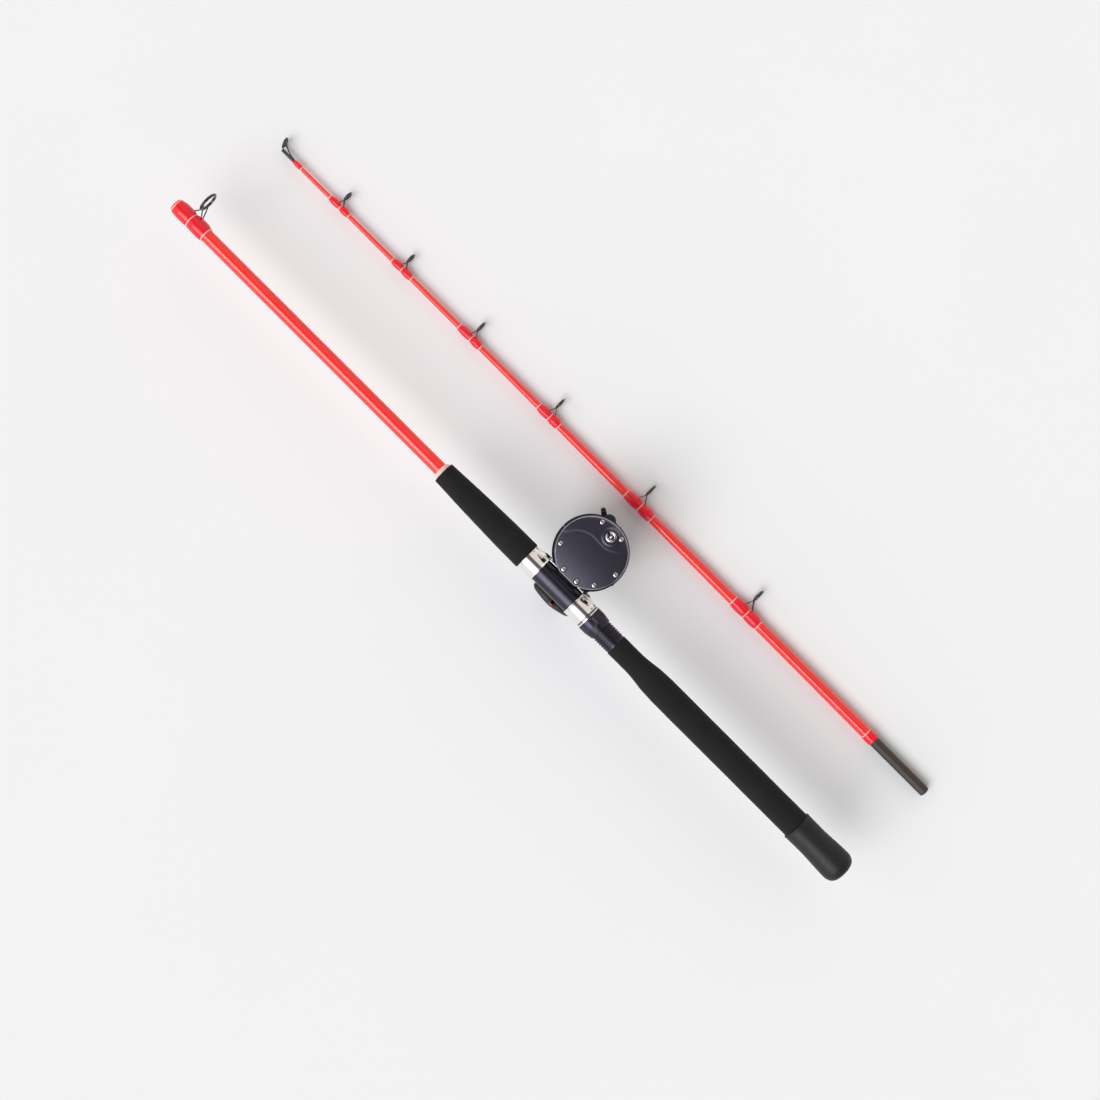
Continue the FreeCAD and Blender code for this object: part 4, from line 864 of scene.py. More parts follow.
@dataclass
class Blanks:
    """The hollow blanks and the spigot that joins them."""

    bench: Bench
    butt: Section
    tip: Section
    socket_r: float = 6.65
    socket_depth: float = 93.0
    bore_r: float = 6.3
    shank_r: float = 1.55
    shank_front: float = 531.0
    spigot_r: float = 6.6
    spigot_end: float = -555.0

    def build(self) -> None:
        """Make both blanks and the spigot."""
        self.butt_blank()
        self.tip_blank()
        self.spigot()

    def butt_blank(self) -> None:
        """The butt blank, open at the front for the spigot."""
        front, rear = self.butt.taper[0][0], self.butt.taper[-1][0]
        outer = [(y, radius_at(self.butt.taper, y)) for y in spread(rear, front - 0.6, 30)]
        mouth = [(front - 0.15, self.butt.taper[0][1] - 0.15), (front, self.butt.taper[0][1] - 0.6),
                 (front, self.socket_r + 0.5), (front - 0.5, self.socket_r)]
        inner = [(front - self.socket_depth, self.socket_r), (front - self.socket_depth, self.bore_r),
                 (rear, self.bore_r)]
        shell = Shell()
        shell.turned(self.butt.axis, outer + mouth + inner, 96, loop=True)
        self.bench.add(shell, "butt_blank_lacquered", "blank_red", self.butt.body, ["butt_blank"])

    def tip_blank(self) -> None:
        """The tip blank, stepped down under the tip-top's tube."""
        front, rear = self.tip.taper[0][0], self.tip.taper[-1][0]
        outer = [(y, radius_at(self.tip.taper, y)) for y in spread(rear + 0.4, front, 40)]
        profile = [(rear, self.spigot_r - 0.6), (rear, self.tip.taper[-1][1] - 0.4)] + outer
        profile += [(front, self.shank_r), (self.shank_front, self.shank_r), (self.shank_front, 0.7)]
        shell = Shell()
        shell.turned(self.tip.axis, profile, 96)
        self.bench.add(shell, "tip_blank_lacquered", "blank_red", self.tip.body, ["tip_blank"])

    def spigot(self) -> None:
        """The ground graphite spigot, with a rounded nose and a glue shoulder at the blank."""
        rear = self.tip.taper[-1][0]
        r, end = self.spigot_r, self.spigot_end
        profile = [(rear + 5.0, r - 0.7), (rear, r - 0.7), (rear - 0.4, r), (end, r), (end, 0.4)]
        shell = Shell()
        shell.turned(self.tip.axis, softened(profile, 2.4, 6), 80)
        self.bench.add(shell, "spigot_ground", "graphite", self.tip.body, ["spigot"])


@dataclass
class Guide:
    """One line guide: a ceramic ring in a hoop, three wire legs, two wraps and three trim bands."""

    bench: Bench
    section: Section
    name: str
    ring_y: float
    outer: float
    height: float
    bands: tuple[float, float, float]
    wire: float = 0.55
    wrap: float = 1.15
    ring_width: float = 3.0
    leg_side: float = 0.55
    stands_for: dict[str, str] = field(default_factory=dict)
    crown: float = 0.35
    edge: float = 0.5
    foot_lift: float = 0.08

    def build(self) -> None:
        """Make every piece of the guide."""
        self.wraps()
        self.trims()
        self.frame()
        self.ring()

    def put(self, shell: Shell, part: str, finish: str) -> None:
        """Add one of the guide's pieces, which stands for its node."""
        self.bench.add(shell, f"{self.name}_{part}", finish, self.section.body, [self.stands_for[part]])

    def point(self, along: float, up: float, side: float = 0.0) -> Vector:
        """A point by its place along the rod, its height from the rod's axis and its side, in mm."""
        return self.section.axis.base + Vector((up, along, side)) * MM

    def foot_height(self, along: float) -> float:
        """The height of a foot wire's centre."""
        return radius_at(self.section.taper, along) + self.wire + self.foot_lift

    def wraps(self) -> None:
        """The two wraps, crowned, with a ridge where the foot lies under the thread."""
        shell = Shell()
        taper = self.section.taper
        half = TRIM_HALF
        for front, rear, foot_end in ((self.bands[0] - half, self.bands[1] + half, self.bands[0] - 4.0),
                                      (self.bands[2] + half, self.bands[1] - half, self.bands[2] + 4.0)):
            rows = []
            for y in spread(front, rear, 26):
                share = (y - front) / (rear - front)
                base = radius_at(taper, y) + self.edge + (self.wrap + self.crown - self.edge) * math.sin(
                    math.pi * share) ** 0.8
                seam = smooth(abs(y - rear), 0.0, 3.0)
                covered = seam * smooth(abs(y - front), 1.0, abs(foot_end - front) + 2.0)
                ridge = self.wire * covered
                rows.append((y, lambda turn, b=base, h=ridge: b + h * math.exp(-((math.remainder(
                    turn, 2 * math.pi)) / 0.38) ** 2)))
            under = [(y, steady(radius_at(taper, y) - UNDER)) for y in (rear, front)]
            shell.skin(self.section.axis, rows + under, 72, loop=True)
        self.put(shell, "wraps", "wrap_crimson")

    def trims(self) -> None:
        """The three narrow trim bands of pale thread."""
        shell = Shell()
        for y in self.bands:
            r = radius_at(self.section.taper, y)
            shell.turned(self.section.axis, trim_band(y, r - 0.2, r + self.edge + 0.1), 72, loop=True)
        self.put(shell, "trims", "trim_white")

    def frame(self) -> None:
        """The hoop, the single front leg, the splayed rear legs and their flattened feet."""
        shell = Shell()
        ring_axis = self.section.axis.moved(self.height, 0.0)
        shell.turned(ring_axis, rounded_section(self.ring_y, self.outer - HOOP_INSET, 0.9, 0.5), 56, loop=True)
        low = self.height - self.outer
        flat = (1.0, 1.0, 1.0, 0.8, 0.62, 0.55)
        front = self.ring_y + 0.18 * self.height
        foot = self.foot_height(front)
        drop = low - foot
        reach = front - self.ring_y
        shell.tube(eased([
            self.point(self.ring_y, low + 0.4), self.point(self.ring_y + 0.22 * reach, low - 0.2 * drop),
            self.point(self.ring_y + 0.75 * reach, foot + 0.28 * drop), self.point(front + 1.6, foot + 0.03),
            self.point(self.bands[0] - 4.0, self.foot_height(self.bands[0] - 4.0))]), self.wire, flat)
        side = self.leg_side * self.outer
        up = self.height - math.sqrt(self.outer ** 2 - side ** 2)
        rear = self.ring_y - 0.36 * self.height
        foot = self.foot_height(rear)
        end = self.bands[2] + 4.0
        for way in (-1, 1):
            shell.tube(eased([
                self.point(self.ring_y, up + 0.4, way * (side - 0.3)),
                self.point(self.ring_y * 0.72 + rear * 0.28, up * 0.7 + foot * 0.3, way * side * 0.85),
                self.point(self.ring_y * 0.2 + rear * 0.8, up * 0.12 + foot * 0.88, way * side * 0.38),
                self.point(rear - 1.8, foot + 0.02, way * self.wire),
                self.point(end, self.foot_height(end), way * self.wire * 0.9)]), self.wire, flat)
        self.put(shell, "frame", "guide_black")

    def ring(self) -> None:
        """The polished ceramic ring."""
        shell = Shell()
        shell.turned(self.section.axis.moved(self.height, 0.0), rounded_section(
            self.ring_y, self.outer - RING_INSET, self.ring_width / 2, RING_HALF, 20), 64, loop=True)
        self.put(shell, "ring", "ring_ceramic")


@dataclass
class TipTop:
    """The tip-top: a tube over the blank's end with a leaning ring on four legs."""

    bench: Bench
    section: Section
    ring_y: float = 537.0
    outer: float = 7.0
    height: float = 8.2
    lean: float = 18.0
    tube: tuple[float, float] = (513.3, 533.5)
    tube_r: float = 2.15
    wire: float = 0.65

    def build(self) -> None:
        """Make the tube, legs, hoop and ring."""
        axis, body = self.section.axis, self.section.body
        shell = Shell()
        rear, front = self.tube
        sleeve = [(rear, 1.6), (rear, self.tube_r), (front, self.tube_r), (front, 0.3)]
        shell.turned(axis, softened(sleeve, 0.5), 40)
        ring_axis = self.ring_axis()
        shell.turned(ring_axis, rounded_section(0.0, self.outer - HOOP_INSET, 1.0, 0.5), 56, loop=True)
        legs = (
            ((1.9, 535.3, 2.7), (1.5, 533.2, 2.3), (1.1, 530.6, 1.75), (1.2, 522.0, 1.7), (1.2, 517.0, 1.6)),
            ((self.height + 0.8, self.ring_y + 0.1, 6.45), (self.height - 2.0, 531.8, 4.6),
             (3.6, 525.6, 2.1), (2.3, 520.5, 1.1), (1.9, 515.5, 0.9)),
        )
        for way in (-1, 1):
            for leg in legs:
                path = [axis.base + Vector((up, y, way * side)) * MM for up, y, side in leg]
                shell.tube(eased(path), self.wire)
        self.bench.add(shell, "tip_top_frame_formed", "guide_black", body, ["tip_top_frame"])
        ring = Shell()
        ring.turned(ring_axis, rounded_section(0.0, self.outer - RING_INSET, 1.5, RING_HALF, 20), 64, loop=True)
        self.bench.add(ring, "tip_top_ring", "ring_ceramic", body, ["tip_guide_rings"])

    def ring_axis(self) -> Axis:
        """The ring's own axis, which leans with it."""
        lean = math.radians(self.lean)
        centre = self.section.axis.base + Vector((self.height, self.ring_y, 0.0)) * MM
        along = Vector((-math.sin(lean), math.cos(lean), 0.0))
        return Axis(centre, along, Vector((math.cos(lean), math.sin(lean), 0.0)))


@dataclass
class EndWraps:
    """The two plain wraps of the tip section: under the tip-top and at the spigot."""

    bench: Bench
    section: Section
    spans: Sequence[tuple[float, float, float]] = ((513.2, 501.9, 500.9), (-455.7, -467.9, -454.7))
    thick: float = 0.75

    def build(self) -> None:
        """Make the wraps and their trim bands."""
        wraps, trims = Shell(), Shell()
        taper, axis = self.section.taper, self.section.axis
        for front, rear, trim in self.spans:
            rows = []
            for y in spread(front, rear, 14):
                share = (y - front) / (rear - front)
                rows.append((y, radius_at(taper, y) + self.thick * smooth(min(share, 1 - share), -0.1, 0.12)))
            under = [(y, radius_at(taper, y) - UNDER) for y in (rear, front)]
            wraps.turned(axis, rows + under, 72, loop=True)
            r = radius_at(taper, trim)
            trims.turned(axis, trim_band(trim, r - UNDER, r + 0.55), 72, loop=True)
        self.bench.add(wraps, "end_wraps", "wrap_crimson", self.section.body, ["tip_wraps"])
        self.bench.add(trims, "end_trims", "trim_white", self.section.body, ["tip_trim_bands"])


@dataclass
class Grips:
    """The foam grips, the winding check and the rubber butt cap."""

    bench: Bench
    section: Section
    fore: Profile = ((-18.5, 17.6), (30.0, 17.0), (75.0, 15.6), (118.0, 13.8))
    rear: Profile = ((-456.8, 17.2), (-260.0, 17.4), (-237.0, 17.3), (-220.0, 16.4), (-202.0, 14.3),
                     (-190.0, 13.8), (-162.7, 13.8))
    check: Profile = ((118.0, 11.4), (119.0, 11.5), (121.5, 10.0), (122.2, 9.3), (123.0, 8.9))
    cap: Profile = ((-456.8, 18.0), (-457.6, 18.9), (-459.4, 19.0), (-460.4, 18.6), (-462.0, 18.7),
                    (-485.0, 18.5), (-508.0, 19.6), (-520.0, 20.0), (-525.5, 19.5), (-530.5, 17.2),
                    (-533.6, 13.0), (-534.7, 7.0), (-535.0, 0.4))
    round_edge: float = 1.3

    def build(self) -> None:
        """Make the grips and what finishes their ends."""
        self.foam("fore_grip_foam", self.fore, "fore_grip")
        self.foam("rear_grip_foam", self.rear, "rear_grip")
        core = radius_at(self.section.taper, 0.0) - CORE_INSET
        check = Shell()
        check.turned(self.section.axis, [(118.0, core)] + list(self.check) + [(123.0, 8.0)], 80, loop=True)
        self.bench.add(check, "winding_check_turned", "trim_white", self.section.body, ["winding_check"])
        cap = Shell()
        cap.turned(self.section.axis, [(-456.8, core)] + flowing(self.cap, 5), 96)
        self.bench.add(cap, "butt_cap_moulded", "butt_rubber", self.section.body, ["butt_cap"])

    def foam(self, name: str, profile: Profile, node: str) -> None:
        """One grip, ground to its profile and soft at its rims.

        Args:
            name: The piece's name.
            profile: Its outline as (along, radius), rear end first.
            node: The node that it stands for.
        """
        core = radius_at(self.section.taper, profile[0][0]) - CORE_INSET
        body = flowing(profile, 14)
        full = softened([(body[0][0], core)] + body + [(body[-1][0], core)], self.round_edge, 4)
        rows = []
        for y, r in full:
            hand = 0.05 * math.sin(y * 0.11) + 0.03 * math.sin(y * 0.37 + 1.0)
            rows.append((y, lambda turn, r=r, h=hand, y=y: r + (h + 0.04 * math.sin(3 * turn + y * 0.05))
                         * (r > core + 1.0) - 0.1 * (r > core + 1.0)))
        shell = Shell()
        shell.skin(self.section.axis, rows, 96, loop=True)
        made = self.bench.add(shell, name, "foam_grip", self.section.body, [node], crease=60.0)


@dataclass
class ReelSeat:
    """The reel seat: barrel and thread, fixed hood, moving hood, its ring and the lock nut."""

    bench: Bench
    section: Section
    front: float = -18.5
    hood_length: float = 22.0
    rear_mouth: float = -93.6
    rear_back: float = -115.3
    nut_rear: float = -138.5
    rear: float = -162.7
    neck_r: float = 14.0
    barrel_r: float = 14.7
    crest_r: float = 13.8
    root_r: float = 12.9
    bore_r: float = 11.2
    pitch: float = 3.4
    roof: float = 18.9
    dome_r: float = 22.0
    dome_sink: float = 3.1
    pocket_side: tuple[float, float] = (0.48, 0.74)
    room_side: tuple[float, float] = (0.42, 0.6)
    room_end: tuple[float, float] = (12.5, 15.0)

    def build(self) -> None:
        """Make every piece of the seat."""
        self.tube()
        self.hood("front_hood_pressed", self.front - self.hood_length, self.front, 16.1, self.section.body,
                  "front_hood")
        self.hood("rear_hood_pressed", self.rear_mouth, self.rear_back, 15.7, "moving_hood", "rear_hood")
        self.nut()

    def tube(self) -> None:
        """The barrel between the hoods and the helical thread behind it."""
        neck_end = self.rear_back + 0.4
        mouth = self.front - self.hood_length
        profile = [(self.front, self.neck_r), (mouth, self.neck_r), (mouth, self.barrel_r - 0.2),
                   (mouth - 0.3, self.barrel_r), (self.rear_mouth + 0.4, self.barrel_r),
                   (self.rear_mouth + 0.1, self.barrel_r - 0.2), (self.rear_mouth + 0.1, self.neck_r),
                   (neck_end, self.neck_r)]
        rows = [(y, steady(r)) for y, r in profile]

        def thread(turn: float, y: float) -> float:
            """The thread's radius at an angle and a place along the seat."""
            share = ((y / self.pitch - turn / (2 * math.pi)) % 1.0)
            ridge = smooth(share, 0.05, 0.32) * (1 - smooth(share, 0.55, 0.82))
            ends = smooth(neck_end - y, 0.5, 3.0) * smooth(y - self.rear, 0.2, 2.5)
            return self.root_r + (self.crest_r - self.root_r) * ridge * ends

        for y in spread(neck_end - 0.01, self.rear, 160):
            rows.append((y, lambda turn, y=y: thread(turn, y)))
        rows += [(self.rear, steady(self.bore_r)), (self.front, steady(self.bore_r))]
        shell = Shell()
        shell.skin(self.section.axis, rows, 96, loop=True)
        self.bench.add(shell, "seat_tube_turned", "seat_satin", self.section.body, ["seat_tube"], crease=30.0)

    def hood(self, name: str, mouth: float, back: float, outer: float, body: str, node: str) -> None:
        """A pressed hood: a sleeve with a raised pocket over the reel's foot.

        Args:
            name: The piece's name.
            mouth: Where the pocket opens, along the rod.
            back: Where the hood ends.
            outer: The sleeve's radius.
            body: The body that it rides on.
            node: The node that it stands for.
        """
        length = abs(back - mouth)
        way = 1.0 if back > mouth else -1.0

        def pocket(turn: float, drop: float) -> float:
            """The pocket's roof, a wide flat dome, lowered by a drop."""
            c = math.cos(turn)
            return math.sqrt(self.dome_r ** 2 - self.dome_sink ** 2 * (1 - c * c)) - self.dome_sink * c - drop

        def outside(turn: float, depth: float) -> float:
            """The outer radius at an angle and a depth from the mouth."""
            beads = ((0.3, 0.8), (0.25, length - 0.9))
            bead = sum(tall * math.exp(-((depth - at) / 0.6) ** 2) for tall, at in beads)
            base = outer + 0.35 * (1 - smooth(depth, 0.5, 4.0)) + bead
            t = abs(math.remainder(turn, 2 * math.pi))
            drop = (self.roof - outer + 0.8) * smooth(depth, 7.0, length - 1.5)
            share = 1 - smooth(t, *self.pocket_side)
            return base + max(0.0, pocket(turn, drop) - base) * share

        def inside(turn: float, depth: float) -> float:
            """The inner radius, with room for the foot near the mouth."""
            t = abs(math.remainder(turn, 2 * math.pi))
            drop = (self.roof - outer + 0.8) * smooth(depth, 7.0, length - 1.5) + 1.15
            share = (1 - smooth(t, *self.room_side)) * (1 - smooth(depth, *self.room_end))
            return self.neck_r + 0.06 + max(0.0, pocket(turn, drop) - self.neck_r - 0.06) * share

        depths = [0.0, 0.15, 0.5, 0.8, 1.2, 1.8] + spread(2.6, length - 2.4, 18)
        depths += [length - 1.6, length - 0.9, length - 0.4, length - 0.1, length]
        rows = [(mouth + way * d, lambda turn, d=d: outside(turn, d) - 0.25 * (d in (0.0, length)))
                for d in depths]
        rows += [(mouth + way * d, lambda turn, d=d: inside(turn, d))
                 for d in reversed(spread(0.0, length, 14))]
        shell = Shell()
        shell.skin(self.section.axis, rows, 144, loop=True)
        self.bench.add(shell, name, "hood_chrome", body, [node], crease=50.0)

    def nut(self) -> None:
        """The seam, bright ring and fluted lock nut, which turn together on the thread."""
        bore = self.crest_r + 0.05
        seam, ring = self.rear_back - 0.1, self.rear_back - 1.9
        nut_front = self.rear_back - 3.6
        shell = Shell()
        axis = self.section.axis
        gap = [(seam, bore), (seam, 15.0), (ring, 15.0), (ring, bore)]
        shell.turned(axis, gap, 96, loop=True, material=1)
        band = [(ring, bore), (ring, 16.3), (nut_front, 16.3), (nut_front, bore)]
        shell.turned(axis, softened(band, 0.5), 96, loop=True)
        self.bench.add(shell, "nut_ring_bright", "hood_chrome", "lock_nut", ["nut_ring"], ["frame_black"])
        shell = Shell()
        flutes = [math.radians(90 + 60 * group + (k - 1.5) * 6.5) for group in range(6) for k in range(4)]

        def fluted(turn: float, y: float, base: float) -> float:
            """The nut's radius, dipping at each flute."""
            nearest = min(abs(math.remainder(turn - f, 2 * math.pi)) for f in flutes)
            depth = 0.55 * (1 - smooth(nearest, 0.012, 0.04))
            depth *= smooth(y, self.nut_rear + 6.5, self.nut_rear + 9.5)
            return base - depth * smooth(nut_front - y, 0.6, 1.4)

        outline = softened([(nut_front, bore), (nut_front, 16.1), (nut_front - 9.5, 16.1),
                            (self.nut_rear + 1.0, 14.7), (self.nut_rear, 14.3), (self.nut_rear, bore)],
                           0.7, 3)
        dense = []
        for a, b in zip(outline, outline[1:]):
            count = max(2, int(abs(a[0] - b[0]) / 0.8) + 1)
            dense += [(a[0] + (b[0] - a[0]) * k / count, a[1] + (b[1] - a[1]) * k / count)
                      for k in range(count)]
        dense.append(outline[-1])
        rows = [(y, (lambda turn, y=y, r=r: fluted(turn, y, r)) if r > bore + 0.3 else steady(r))
                for y, r in dense]
        shell.skin(axis, rows, 288, loop=True)
        self.bench.add(shell, "lock_nut_fluted", "seat_satin", "lock_nut", ["lock_nut"], crease=45.0)


# ---------------------------------------------------------------- the reel
PLATE_R = 42.6
PLATE_FLAT = 41.1
FRAME_BORE = 34.0


def plate_edge(turn: float) -> float:
    """The left side's edge at an angle, in mm: round, but flat on the rod's side."""
    c = math.cos(turn)
    return min(PLATE_R, PLATE_FLAT / -c) if c < 0 else PLATE_R


@dataclass
class LeftSide:
    """The reel's left side: the crowned side plate, its screws and the click button."""

    bench: Bench
    axis: Axis
    low: float = 24.0
    rim: float = 29.0
    crown: float = 2.1
    chamfer: float = 1.3
    step: float = 0.26
    screw_circle: float = 37.0
    screw_angles: Sequence[float] = (26.0, -21.0, -88.0, -131.0, 118.0, 165.0, -163.0)
    swirl: Profile = ((-13.0, 46.0), (-3.0, 37.5), (5.9, 30.5), (11.5, 22.5), (14.3, 13.0), (14.0, 1.0),
                      (14.5, -9.0), (19.0, -18.5), (26.0, -24.5), (36.0, -29.0))
    ceiling: float = 27.2

    def build(self) -> None:
        """Make the plate, the screws and the button."""
        low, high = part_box("click_button")
        self.button = (low + high) / 2 - self.axis.base
        self.plate()
        self.screws()
        self.click_button()

    def spot(self, angle: float) -> Axis:
        """The axis of the screw at an angle."""
        a = math.radians(angle)
        return self.axis.moved(self.screw_circle * math.cos(a), self.screw_circle * math.sin(a))

    def plate(self) -> None:
        """The side plate: crowned, with a swept step across it and a bright line at its chamfer."""
        line = [(p.x, p.y) for p in eased([Vector((x, y, 0.0)) for x, y in self.swirl], 6)]

        def step_at(x: float, y: float) -> float:
            """How far a point is inside the raised side of the step, from 0 to 1."""
            best, side = 1e9, 0.0
            for (ax, ay), (bx, by) in zip(line, line[1:]):
                dx, dy = bx - ax, by - ay
                t = min(1.0, max(0.0, ((x - ax) * dx + (y - ay) * dy) / (dx * dx + dy * dy)))
                gap = math.hypot(x - ax - t * dx, y - ay - t * dy)
                if gap < best:
                    best, side = gap, math.copysign(1.0, (x - ax) * dy - (y - ay) * dx)
            return 1 - smooth(best * side, -1.6, 1.6) if side else 0.5

        def top(x: float, y: float, inset: float) -> float:
            """The height of the plate's face at a point, and at a distance from its edge."""
            dome = self.rim + self.crown * (1 - (x * x + y * y) / PLATE_R ** 2)
            boss = 1 - smooth(math.hypot(x - self.button.x / MM, y - self.button.y / MM), 8.2, 12.0)
            rise = (self.step * step_at(x, y) + 0.5 * boss) * smooth(inset, self.chamfer, self.chamfer + 1.6)
            return dome + rise - max(0.0, self.chamfer - inset)

        count = 288
        turns = [2 * math.pi * k / count for k in range(count)]

        def ring(inset: float, height: Optional[float] = None) -> list[Vector]:
            """A ring of points at a distance in from the edge."""
            points = []
            for turn in turns:
                r = max(0.05, plate_edge(turn) - inset)
                x, y = r * math.cos(turn), r * math.sin(turn)
                points.append(self.axis.at(top(x, y, inset) if height is None else height, r, turn))
            return points

        hollow = PLATE_R - 32.5
        shell = Shell()
        insets = [0.0, 0.5, self.chamfer - 0.35]
        face = [self.chamfer, self.chamfer + 0.01]
        face += spread(self.chamfer + 0.4, 12.0, 20) + spread(12.6, 42.5, 52)
        under = ((PLATE_R - 0.05, self.ceiling), (hollow, self.ceiling), (hollow, self.low), (0.0, self.low))
        shell.rings([ring(i, w) for i, w in under] + [ring(i) for i in insets + face])
        low, high = self.chamfer - 0.4, self.chamfer + 0.005
        shell.mesh.faces.ensure_lookup_table()
        for f in shell.mesh.faces:
            centre = f.calc_center_median()
            away = (centre - self.axis.base) / MM
            inset = plate_edge(math.atan2(away.y, away.x)) - math.hypot(away.x, away.y)
            if low < inset < high and away.z > 27.5:
                f.material_index = 1
        shell.turned(self.axis, [(22.7, 6.6), (22.7, 8.6), (27.3, 8.6), (27.3, 6.6)], 48, loop=True)
        made = self.bench.add(shell, "left_plate_crowned", "plate_anodised", "butt_section",
                              ["left_side_plate"], ["spool_metal"], crease=30.0)
        cutter = Shell()
        for angle in self.screw_angles:
            cutter.turned(self.spot(angle), [(28.2, 0.01), (28.2, 3.8), (33.0, 3.8), (33.0, 0.01)], 40)
        carved(made, cutter)

    def screws(self) -> None:
        """The seven screws, their heads domed with a cross recess."""
        shell, cutter = Shell(), Shell()
        for angle in self.screw_angles:
            spot = self.spot(angle)
            shell.turned(spot, softened([(24.0, 1.6), (28.2, 1.6), (28.2, 2.75), (29.4, 2.75), (29.9, 1.8),
                                         (30.0, 0.01)], 0.45, 3), 40)
            self.cross(cutter, spot, 29.1, 31.0)
        made = self.bench.add(shell, "left_plate_screw_heads", "screw_steel", "butt_section",
                              ["left_plate_screws"])
        carved(made, cutter)

    @staticmethod
    def cross(cutter: Shell, spot: Axis, low: float, high: float) -> None:
        """Add a cross recess to a cutter, as one plus-shaped prism."""
        arm, half = 1.7, 0.55
        plus, quarter = [], [(arm, half), (half, half), (half, arm)]
        for _ in range(4):
            plus += quarter
            quarter = [(-y, x) for x, y in quarter]
        turn = math.radians(20.0)
        rows = []
        for w in (low, high):
            rows.append([spot.at(w, math.hypot(x, y), math.atan2(y, x) + turn) for x, y in plus])
        cutter.rings(rows)

    def click_button(self) -> None:
        """The click button: a bright split ring round a dark face with a bright dot."""
        spot = self.axis.moved(self.button.x / MM, self.button.y / MM)
        shell = Shell()
        stem = [(24.5, 0.01), (24.5, 2.1), (31.0, 2.1), (31.0, 6.1), (31.7, 6.1), (31.7, 0.01)]
        shell.turned(spot, softened(stem, 0.25, 2), 56, material=1)
        gap = math.radians(15.0)
        start = math.radians(74.0)
        section = rounded_section(32.3, 4.85, 0.8, 1.3, 14, 3.0)
        rows = []
        for turn in spread(start + gap, start + 2 * math.pi - gap, 60):
            rows.append([spot.at(w, r, turn) for w, r in section])
        shell.rings(rows)
        shell.turned(spot, flowing([(31.4, 1.75), (32.3, 1.65), (32.9, 1.0), (33.05, 0.01)], 5), 36)
        self.bench.add(shell, "click_button_plated", "button_chrome", "clicker", ["click_button"],
                       ["frame_black"])


@dataclass
class ReelFrame:
    """The frame between the plates, and the spool that turns in it."""

    bench: Bench
    axis: Axis
    pillar_angles: Sequence[float] = (26.0, -21.0, -88.0, -131.0, 118.0)
    pillar_circle: float = 37.0
    half_width: float = 20.0
    flange_r: float = 33.0
    flange_w: float = 19.0

    def build(self) -> None:
        """Make the rings, the pillars and the spool."""
        self.rings()
        self.pillars()
        self.spool()

    def rings(self) -> None:
        """The two frame rings, turned with a shallow groove round each."""
        shell = Shell()
        grooved = [(-20.0, FRAME_BORE), (-20.0, 45.5), (-21.6, 45.5), (-22.0, 45.1), (-22.4, 45.5),
                   (-24.0, 45.5), (-24.0, FRAME_BORE)]
        shell.turned(self.axis, softened(grooved, 0.35, 3), 160, loop=True)
        self.bench.add(shell, "right_frame_ring_turned", "frame_black", "butt_section", ["right_frame_ring"])
        rim = ((20.0, 0.3), (20.3, 0.0), (21.7, 0.0), (22.0, 0.35), (22.3, 0.0), (23.9, 0.0), (24.0, 0.3))
        rows = [(w, lambda turn, i=inward: plate_edge(turn) - i) for w, inward in rim]
        rows = [(rim[0][0], steady(FRAME_BORE)), *rows, (rim[-1][0], steady(FRAME_BORE))]
        shell = Shell()
        shell.skin(self.axis, rows, 240, loop=True)
        self.bench.add(shell, "left_frame_ring_turned", "frame_black", "butt_section", ["left_frame_ring"])

    def pillars(self) -> None:
        """The five waisted pillars."""
        shell = Shell()
        half = self.half_width
        for angle in self.pillar_angles:
            a = math.radians(angle)
            spot = self.axis.moved(self.pillar_circle * math.cos(a), self.pillar_circle * math.sin(a))
            shell.turned(spot, softened([(-half, 0.01), (-half, 3.2), (-16.0, 3.2), (-14.5, 2.6), (14.5, 2.6),
                                         (16.0, 3.2), (half, 3.2), (half, 0.01)], 0.5, 3), 36)
        self.bench.add(shell, "frame_pillars_turned", "frame_black", "butt_section", ["frame_pillars"])

    def spool(self) -> None:
        """The bare spool, its flanges dished and lipped."""
        w, r = self.flange_w, self.flange_r
        side = [(w - 7.0, 13.0), (w - 5.0, 13.6), (w - 4.2, 16.0), (w - 2.6, r - 1.8), (w - 2.4, r - 0.3),
                (w - 2.0, r), (w - 0.5, r), (w, r - 0.5), (w, r - 2.4), (w - 0.6, r - 3.2), (w - 0.9, 15.0),
                (w - 0.1, 12.0), (w, 3.05)]
        shell = Shell()
        profile = [(-a, b) for a, b in reversed(side)] + side
        shell.turned(self.axis, profile, 144, loop=True)
        self.bench.add(shell, "spool_turned", "spool_metal", "spool", ["spool"])


